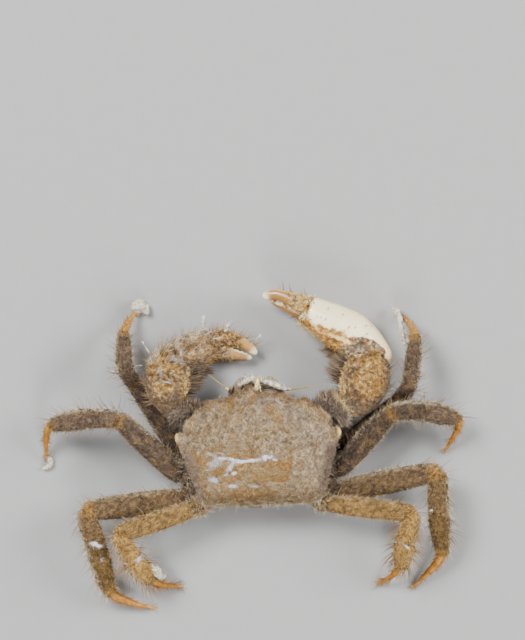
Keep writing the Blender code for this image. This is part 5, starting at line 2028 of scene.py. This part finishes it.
class CRAB_OT_claws(CrabPiece, bpy.types.Operator):
    """Makes both claw arms, their coats, bristles and brushes"""

    bl_idname = "crab.claws"
    bl_label = "Claws"

    def arm_skins(self, side):
        """The five skins of an arm in their colours."""
        colours, depth = self.colours, self.depth
        large = side == "right"
        skins = {}
        for piece, (rows, columns, lumps) in ARM_GRIDS.items():
            skin = claw_skin(side, piece, depth, rows, columns)
            skin.push(lumps * (cloud(skin.points, 0.35, 46) - 0.5))
            skins[piece] = skin
        coxa, merus, carpus = skins.values()
        coxa.tint = mix(colours.umber, colours.lilac, cloud(coxa.points, 0.6, 47))
        coxa.cover = np.ones(coxa.share.shape)
        merus_tint(merus, colours)
        carpus_tint(carpus, side, colours)
        palm = large_palm(depth) if large else small_palm(depth)
        tint_palm = large_palm_tint if large else small_palm_tint
        tint_palm(palm, colours)
        finger = finger_skin(side, depth)
        finger_tint(finger, side, colours)
        skins.update(palm=palm, finger=finger)
        arrange(list(skins.values()))
        return skins

    def curls(self, low, high, width=0.1):
        """Coarse tufts that curl back to the skin."""
        return Hair((low, high), width, (30.0, 75.0), 180.0, 0.35, 2, 3, 0.55, 1.45)

    def coat_arm(self, side, skins, rng):
        """Short tufts and down, and a cream fleece along the inner edge of the carpus."""
        coat = Build()
        for piece, (density, long) in ARM_COAT.items():
            skin = skins[piece]
            keep = skin.cover
            hair = self.felt_hair(long, (25.0, 70.0), 90.0)
            coat.cover(skin, density, hair, rng, keep, vary=0.4)
            coat.cover(skin, 10.0, self.fuzz_hair(0.25, 0.5, (35.0, 75.0), 60.0), rng, keep)
            if piece != "carpus":
                hair = self.fuzz_hair(0.5, 1.0, (30.0, 75.0), 60.0, 0.05)
                coat.cover(skin, 26.0, hair, rng, keep)
        carpus = skins["carpus"]
        coat.cover(carpus, 22.0, self.curls(0.14, 0.28, 0.07), rng, carpus.cover, vary=0.45)
        inner = math.pi - 0.25 if side == "right" else 0.25
        roots = in_rows(carpus, (inner,), 240, rng, 0.1, 0.1, 0.66)
        fleece = mix(self.colours.cream, self.colours.ochre, rng.random(len(roots)))
        roots.tint = fleece * (1.0 if side == "right" else 0.75)
        coat.add_hairs(roots, self.curls(0.25, 0.55, 0.08), rng, vary=0.3)
        return coat

    def coat_hand(self, side, skins, rng):
        """The coat of palm and finger, then the bristles and brushes of the whole arm."""
        palm, finger = skins["palm"], skins["finger"]
        coat = Build()
        keep = palm.cover
        coat.cover(palm, 175.0, self.felt_hair(0.75, (25.0, 70.0), 90.0), rng, keep, vary=0.4)
        coat.cover(palm, 14.0, self.fuzz_hair(0.3, 0.55, (35.0, 75.0), 60.0), rng, keep)
        coat.cover(palm, 16.0, self.curls(0.16, 0.32, 0.08), rng, keep, vary=0.45)
        if side == "right":
            coat.cover(palm, 70.0, self.curls(0.25, 0.5, 0.09), rng, palm.mouth, vary=0.4)
        else:
            lock = Hair((0.3, 0.6), 0.07, (12.0, 45.0), 50.0, 0.1, 3, 3, 0.6, 1.4)
            coat.cover(palm, 30.0, lock, rng, keep, vary=0.45)
        keep = finger.cover
        coat.cover(finger, 130.0, self.felt_hair(1.1, (20.0, 60.0), 60.0), rng, keep, vary=0.35)
        coat.cover(finger, 26.0, self.curls(0.2, 0.4), rng, keep, vary=0.45)
        self.add_bristles(coat, side, skins, rng)
        for piece, *details in BRUSHES[side]:
            self.brush(coat, skins[piece], rng, *details)
        return coat

    def add_bristles(self, coat, side, skins, rng):
        """Stout bristles along the outer edge, and softer and dark ones on the large palm, the dark
        ones widened to carry their painted shadows.
        """
        outer = 0.0 if side == "right" else math.pi
        bristle = 1.4 * np.array(self.colours.bristle)
        for piece, count, start, end, low, high, spread, width in BRISTLE_ROWS[side]:
            roots = in_rows(skins[piece], (outer,), count, rng, spread, start, end)
            roots.tint = mix(roots.tint, bristle, 0.85)
            hair = Hair((low, high), width, (45.0, 90.0), 25.0, 0.15, 4, 4, 0.95, 1.15)
            coat.add_hairs(roots, hair, rng)
        if side == "right":
            palm = skins["palm"]
            roots = in_rows(palm, (math.pi,), 40, rng, 0.3, 0.35, 0.66)
            roots.tint = mix(roots.tint, bristle, 0.7)
            coat.add_hairs(roots, self.bristle_hair(0.4, 0.9), rng)
            # Dark dashes on the ivory: flat umber hairs, widened so that each also carries its
            # painted shadow.
            roots = in_rows(palm, (0.45 * math.pi, 0.25 * math.pi), 16, rng, 0.14, 0.28, 0.56)
            roots.tint = np.array(self.colours.umber) * np.ones((len(roots), 1))
            roots.lie = unit(np.cross(roots.normal, roots.lie))
            dash_with_shadow = Hair((0.35, 0.6), 0.08, (12.0, 22.0), 12.0, 0.0, 3, 3, 1.0, 1.0)
            coat.add_hairs(roots, dash_with_shadow, rng)

    def brush(self, coat, skin, rng, centre, radius, aim, density, low, high, bright):
        """Long soft hair that fans out from a round place on a skin."""
        away = np.linalg.norm(skin.points - np.array(centre), axis=-1)
        aim = unit(np.array(aim, float))
        facing = eased(np.sum(skin.normals() * aim, axis=-1), -0.2, 0.4)
        keep = (1.0 - eased(away, 0.8 * radius, radius)) * facing
        keep = keep * (1.0 - patches(skin.points, CLAW_WORN["right"], 0.9))
        roots = scattered(skin, density, rng, keep)
        if not len(roots):
            return
        tone = mix(self.colours.beige, self.colours.lilac, 0.4 + 0.6 * rng.random(len(roots)))
        roots.tint = tone * bright * 0.9
        hair = Hair((low, high), 0.055, (25.0, 75.0), 60.0, 0.15, 4, 3, 0.6, 1.6)
        coat.add_hairs(roots, hair, rng, aim=aim, pull=0.6, vary=0.45)

    def execute(self, context):
        self.read(context)
        for seed, side in enumerate(CLAWS):
            rng = np.random.default_rng(200 + seed)
            large = side == "right"
            skins = self.arm_skins(side)
            coat = self.coat_arm(side, skins, rng)
            add_piece(f"claw_{side}_arm_coat", coat, [self.fur])
            coat = self.coat_hand(side, skins, rng)
            add_piece(f"claw_{side}_hand_coat", coat, [self.fur])
            bare = self.ivory if large else self.horn
            for piece, skin in skins.items():
                bony = piece in ("palm", "finger")
                # Painted shade on each piece under its coat.
                shade_under_coat(skin, skin.cover, 0.35)
                skin.band = (0.0, 1.0)
                made = Build()
                made.add_skin(skin)
                name = f"claw_{side}_{piece}"
                add_piece(name + "_shell", made, [bare if bony else self.felt], [name])
        return {"FINISHED"}


# Crusts and threads that cling to the legs and the small claw: knots of x, y, z and thickness.
CRUSTS = [
    [(-11.5, 12.6, 0.5, 0.6), (-11.1, 13.2, 0.6, 1.15),
     (-10.7, 13.75, 0.6, 1.1), (-10.6, 14.2, 0.5, 0.4)],
    [(-10.9, 12.9, 0.4, 0.5), (-10.4, 13.2, 0.5, 0.75), (-10.2, 13.8, 0.4, 0.4)],
    [(-20.2, -0.3, 0.35, 0.4), (-19.95, -0.95, 0.35, 0.5),
     (-20.15, -1.4, 0.3, 0.5), (-20.8, -1.7, 0.25, 0.25)],
    [(-11.0, -10.9, 3.0, 0.45), (-10.4, -11.4, 3.0, 0.95),
     (-9.9, -12.0, 2.8, 0.9), (-9.5, -12.5, 2.4, 0.4)],
    [(13.8, 12.1, 1.5, 0.3), (13.95, 11.0, 1.7, 0.5),
     (14.15, 9.8, 1.9, 0.42), (14.4, 8.7, 2.1, 0.26)],
    [(13.3, 12.6, 0.9, 0.3), (13.6, 12.1, 1.0, 0.6), (13.9, 11.6, 1.2, 0.4)],
    [(-4.6, 10.9, 1.9, 0.08), (-4.85, 11.6, 2.0, 0.08),
     (-4.8, 12.3, 2.0, 0.26), (-4.7, 12.5, 2.0, 0.12)],
    [(-2.9, 10.8, 1.9, 0.2), (-2.6, 11.1, 1.9, 0.3),
     (-2.45, 11.4, 2.0, 0.42), (-2.3, 11.7, 2.0, 0.2)],
    [(-0.5, 9.5, 1.5, 0.07), (0.1, 9.9, 1.6, 0.07),
     (0.56, 10.3, 1.6, 0.24), (0.72, 10.45, 1.6, 0.1)],
    [(-9.9, 8.9, 2.1, 0.07), (-10.3, 9.5, 2.2, 0.07),
     (-10.6, 10.05, 2.2, 0.22), (-10.65, 10.2, 2.2, 0.1)],
    [(-13.6, 7.25, 3.0, 0.2), (-13.5, 7.45, 3.1, 0.45), (-13.35, 7.7, 3.0, 0.2)],
    [(-12.2, 7.9, 2.5, 0.06), (-11.5, 7.92, 2.7, 0.09), (-10.7, 7.9, 2.8, 0.05)],
    [(7.0, -6.3, 3.2, 0.2), (7.4, -6.75, 3.2, 0.4), (7.8, -7.1, 3.0, 0.2)],
    [(15.8, -6.85, 3.9, 0.14), (16.1, -6.85, 4.0, 0.3), (16.4, -6.95, 3.9, 0.14)],
]


class CRAB_OT_crusts(CrabPiece, bpy.types.Operator):
    """Makes the pale crusts and threads that cling to the legs and the small claw"""

    bl_idname = "crab.crusts"
    bl_label = "Crusts"

    def execute(self, context):
        self.read(context)
        rng = np.random.default_rng(16)
        skins = []
        for knots in CRUSTS:
            skin = sausage(knots, 40, 32)
            thick = np.array(knots)[:, 3].max()
            skin.push(0.6 * thick * (cloud(skin.points, 0.4, 95) - 0.5))
            skin.push(0.2 * min(thick, 0.6) * (cloud(skin.points, 0.14, 96) - 0.5))
            tint = mix(self.colours.pale, self.colours.crust, cloud(skin.points, 0.4, 97))
            pale, dark = self.colours.crust, self.colours.umber
            skin.tint = grainy(tint, skin.points, 0.17, 98, pale, dark, 0.6)
            skins.append(skin)
        arrange(skins)
        made = Build()
        for skin in skins:
            made.add_skin(skin)
            made.cover(skin, 10.0, self.fuzz_hair(0.2, 0.5, (20.0, 80.0), 180.0), rng)
        add_piece("crusts", made, [crust_finish()])
        return {"FINISHED"}


# The stage

# What the picture shows: its middle, its height at one level over the floor, that level, its turn.
VIEW_CENTRE = (0.84, 11.77)
VIEW_HEIGHT = 60.7
VIEW_PLANE = 3.0
VIEW_ROLL = math.radians(-2.2)
LENS = 200.0
SENSOR = 36.0
FLOOR_HALF = 900.0
# Lamps: place, width, and share of the main lamp's power.
LAMPS = {
    "main lamp": ((-150.0, 150.0, 250.0), 130.0, 1.0),
    "side lamp": ((220.0, 60.0, 150.0), 120.0, 0.5),
    "back lamp": ((30.0, -240.0, 160.0), 120.0, 0.42),
}


class CRAB_OT_stage(bpy.types.Operator):
    """Makes the floor, the lamps and the camera"""

    bl_idname = "crab.stage"
    bl_label = "Stage"

    def execute(self, context):
        scene = context.scene
        stage = scene.crab_stage
        mesh = bpy.data.meshes.new("floor")
        half = FLOOR_HALF * MM
        mesh.from_pydata(
            [(-half, -half, 0.0), (half, -half, 0.0), (half, half, 0.0), (-half, half, 0.0)],
            [],
            [(0, 1, 2, 3)],
        )
        mesh.materials.append(floor_finish(stage.floor))
        floor = bpy.data.objects.new("floor", mesh)
        scene.collection.objects.link(floor)

        world = bpy.data.worlds.new("studio")
        world.use_nodes = True
        sky = world.node_tree.nodes["Background"]
        sky.inputs["Color"].default_value = (0.95, 0.97, 1.0, 1.0)
        sky.inputs["Strength"].default_value = stage.sky
        scene.world = world
        for name, (place, wide, share) in LAMPS.items():
            self.lamp(scene, name, place, wide, share * stage.lamp_power)

        camera = bpy.data.cameras.new("camera")
        camera.lens = LENS
        camera.sensor_width = SENSOR
        camera.clip_start = 0.01
        camera.clip_end = 10.0
        eye = bpy.data.objects.new("camera", camera)
        away = VIEW_HEIGHT * LENS / SENSOR
        eye.location = (VIEW_CENTRE[0] * MM, VIEW_CENTRE[1] * MM, (VIEW_PLANE + away) * MM)
        eye.rotation_euler = (0.0, 0.0, VIEW_ROLL)
        scene.collection.objects.link(eye)
        scene.camera = eye
        return {"FINISHED"}

    def lamp(self, scene, name, place, wide, power):
        """A square soft lamp that faces the middle of the crab."""
        light = bpy.data.lights.new(name, "AREA")
        light.size = wide * MM
        light.energy = power
        made = bpy.data.objects.new(name, light)
        made.location = [c * MM for c in place]
        x, y, z = place
        made.rotation_euler = (
            math.atan2(math.hypot(x, y), z),
            0.0,
            math.atan2(y, x) + 0.5 * math.pi,
        )
        scene.collection.objects.link(made)


OPERATORS = (
    CRAB_OT_stage,
    CRAB_OT_shell,
    CRAB_OT_belly,
    CRAB_OT_mouth,
    CRAB_OT_eyes,
    CRAB_OT_feelers,
    CRAB_OT_legs,
    CRAB_OT_claws,
    CRAB_OT_crusts,
)
SETTINGS = {
    "crab_coat": CrabCoatSettings,
    "crab_colours": CrabColourSettings,
    "crab_stage": CrabStageSettings,
}


class CRAB_PT_panel(bpy.types.Panel):
    """Lists the pieces in the 3D view's sidebar"""

    bl_label = "Hairy Crab"
    bl_idname = "CRAB_PT_panel"
    bl_space_type = "VIEW_3D"
    bl_region_type = "UI"
    bl_category = "Hairy Crab"

    def draw(self, context):
        for operator in OPERATORS:
            self.layout.operator(operator.bl_idname)


def register():
    for group in (*SETTINGS.values(), *OPERATORS, CRAB_PT_panel):
        bpy.utils.register_class(group)
    for name, group in SETTINGS.items():
        setattr(bpy.types.Scene, name, bpy.props.PointerProperty(type=group))


def unregister():
    for name in SETTINGS:
        delattr(bpy.types.Scene, name)
    for group in reversed((*SETTINGS.values(), *OPERATORS, CRAB_PT_panel)):
        bpy.utils.unregister_class(group)


def main():
    register()
    bpy.ops.crab.stage()
    bpy.ops.crab.shell()
    bpy.ops.crab.belly()
    bpy.ops.crab.mouth()
    bpy.ops.crab.eyes()
    bpy.ops.crab.feelers()
    bpy.ops.crab.legs()
    bpy.ops.crab.claws()
    bpy.ops.crab.crusts()


if __name__ == "__main__":
    main()
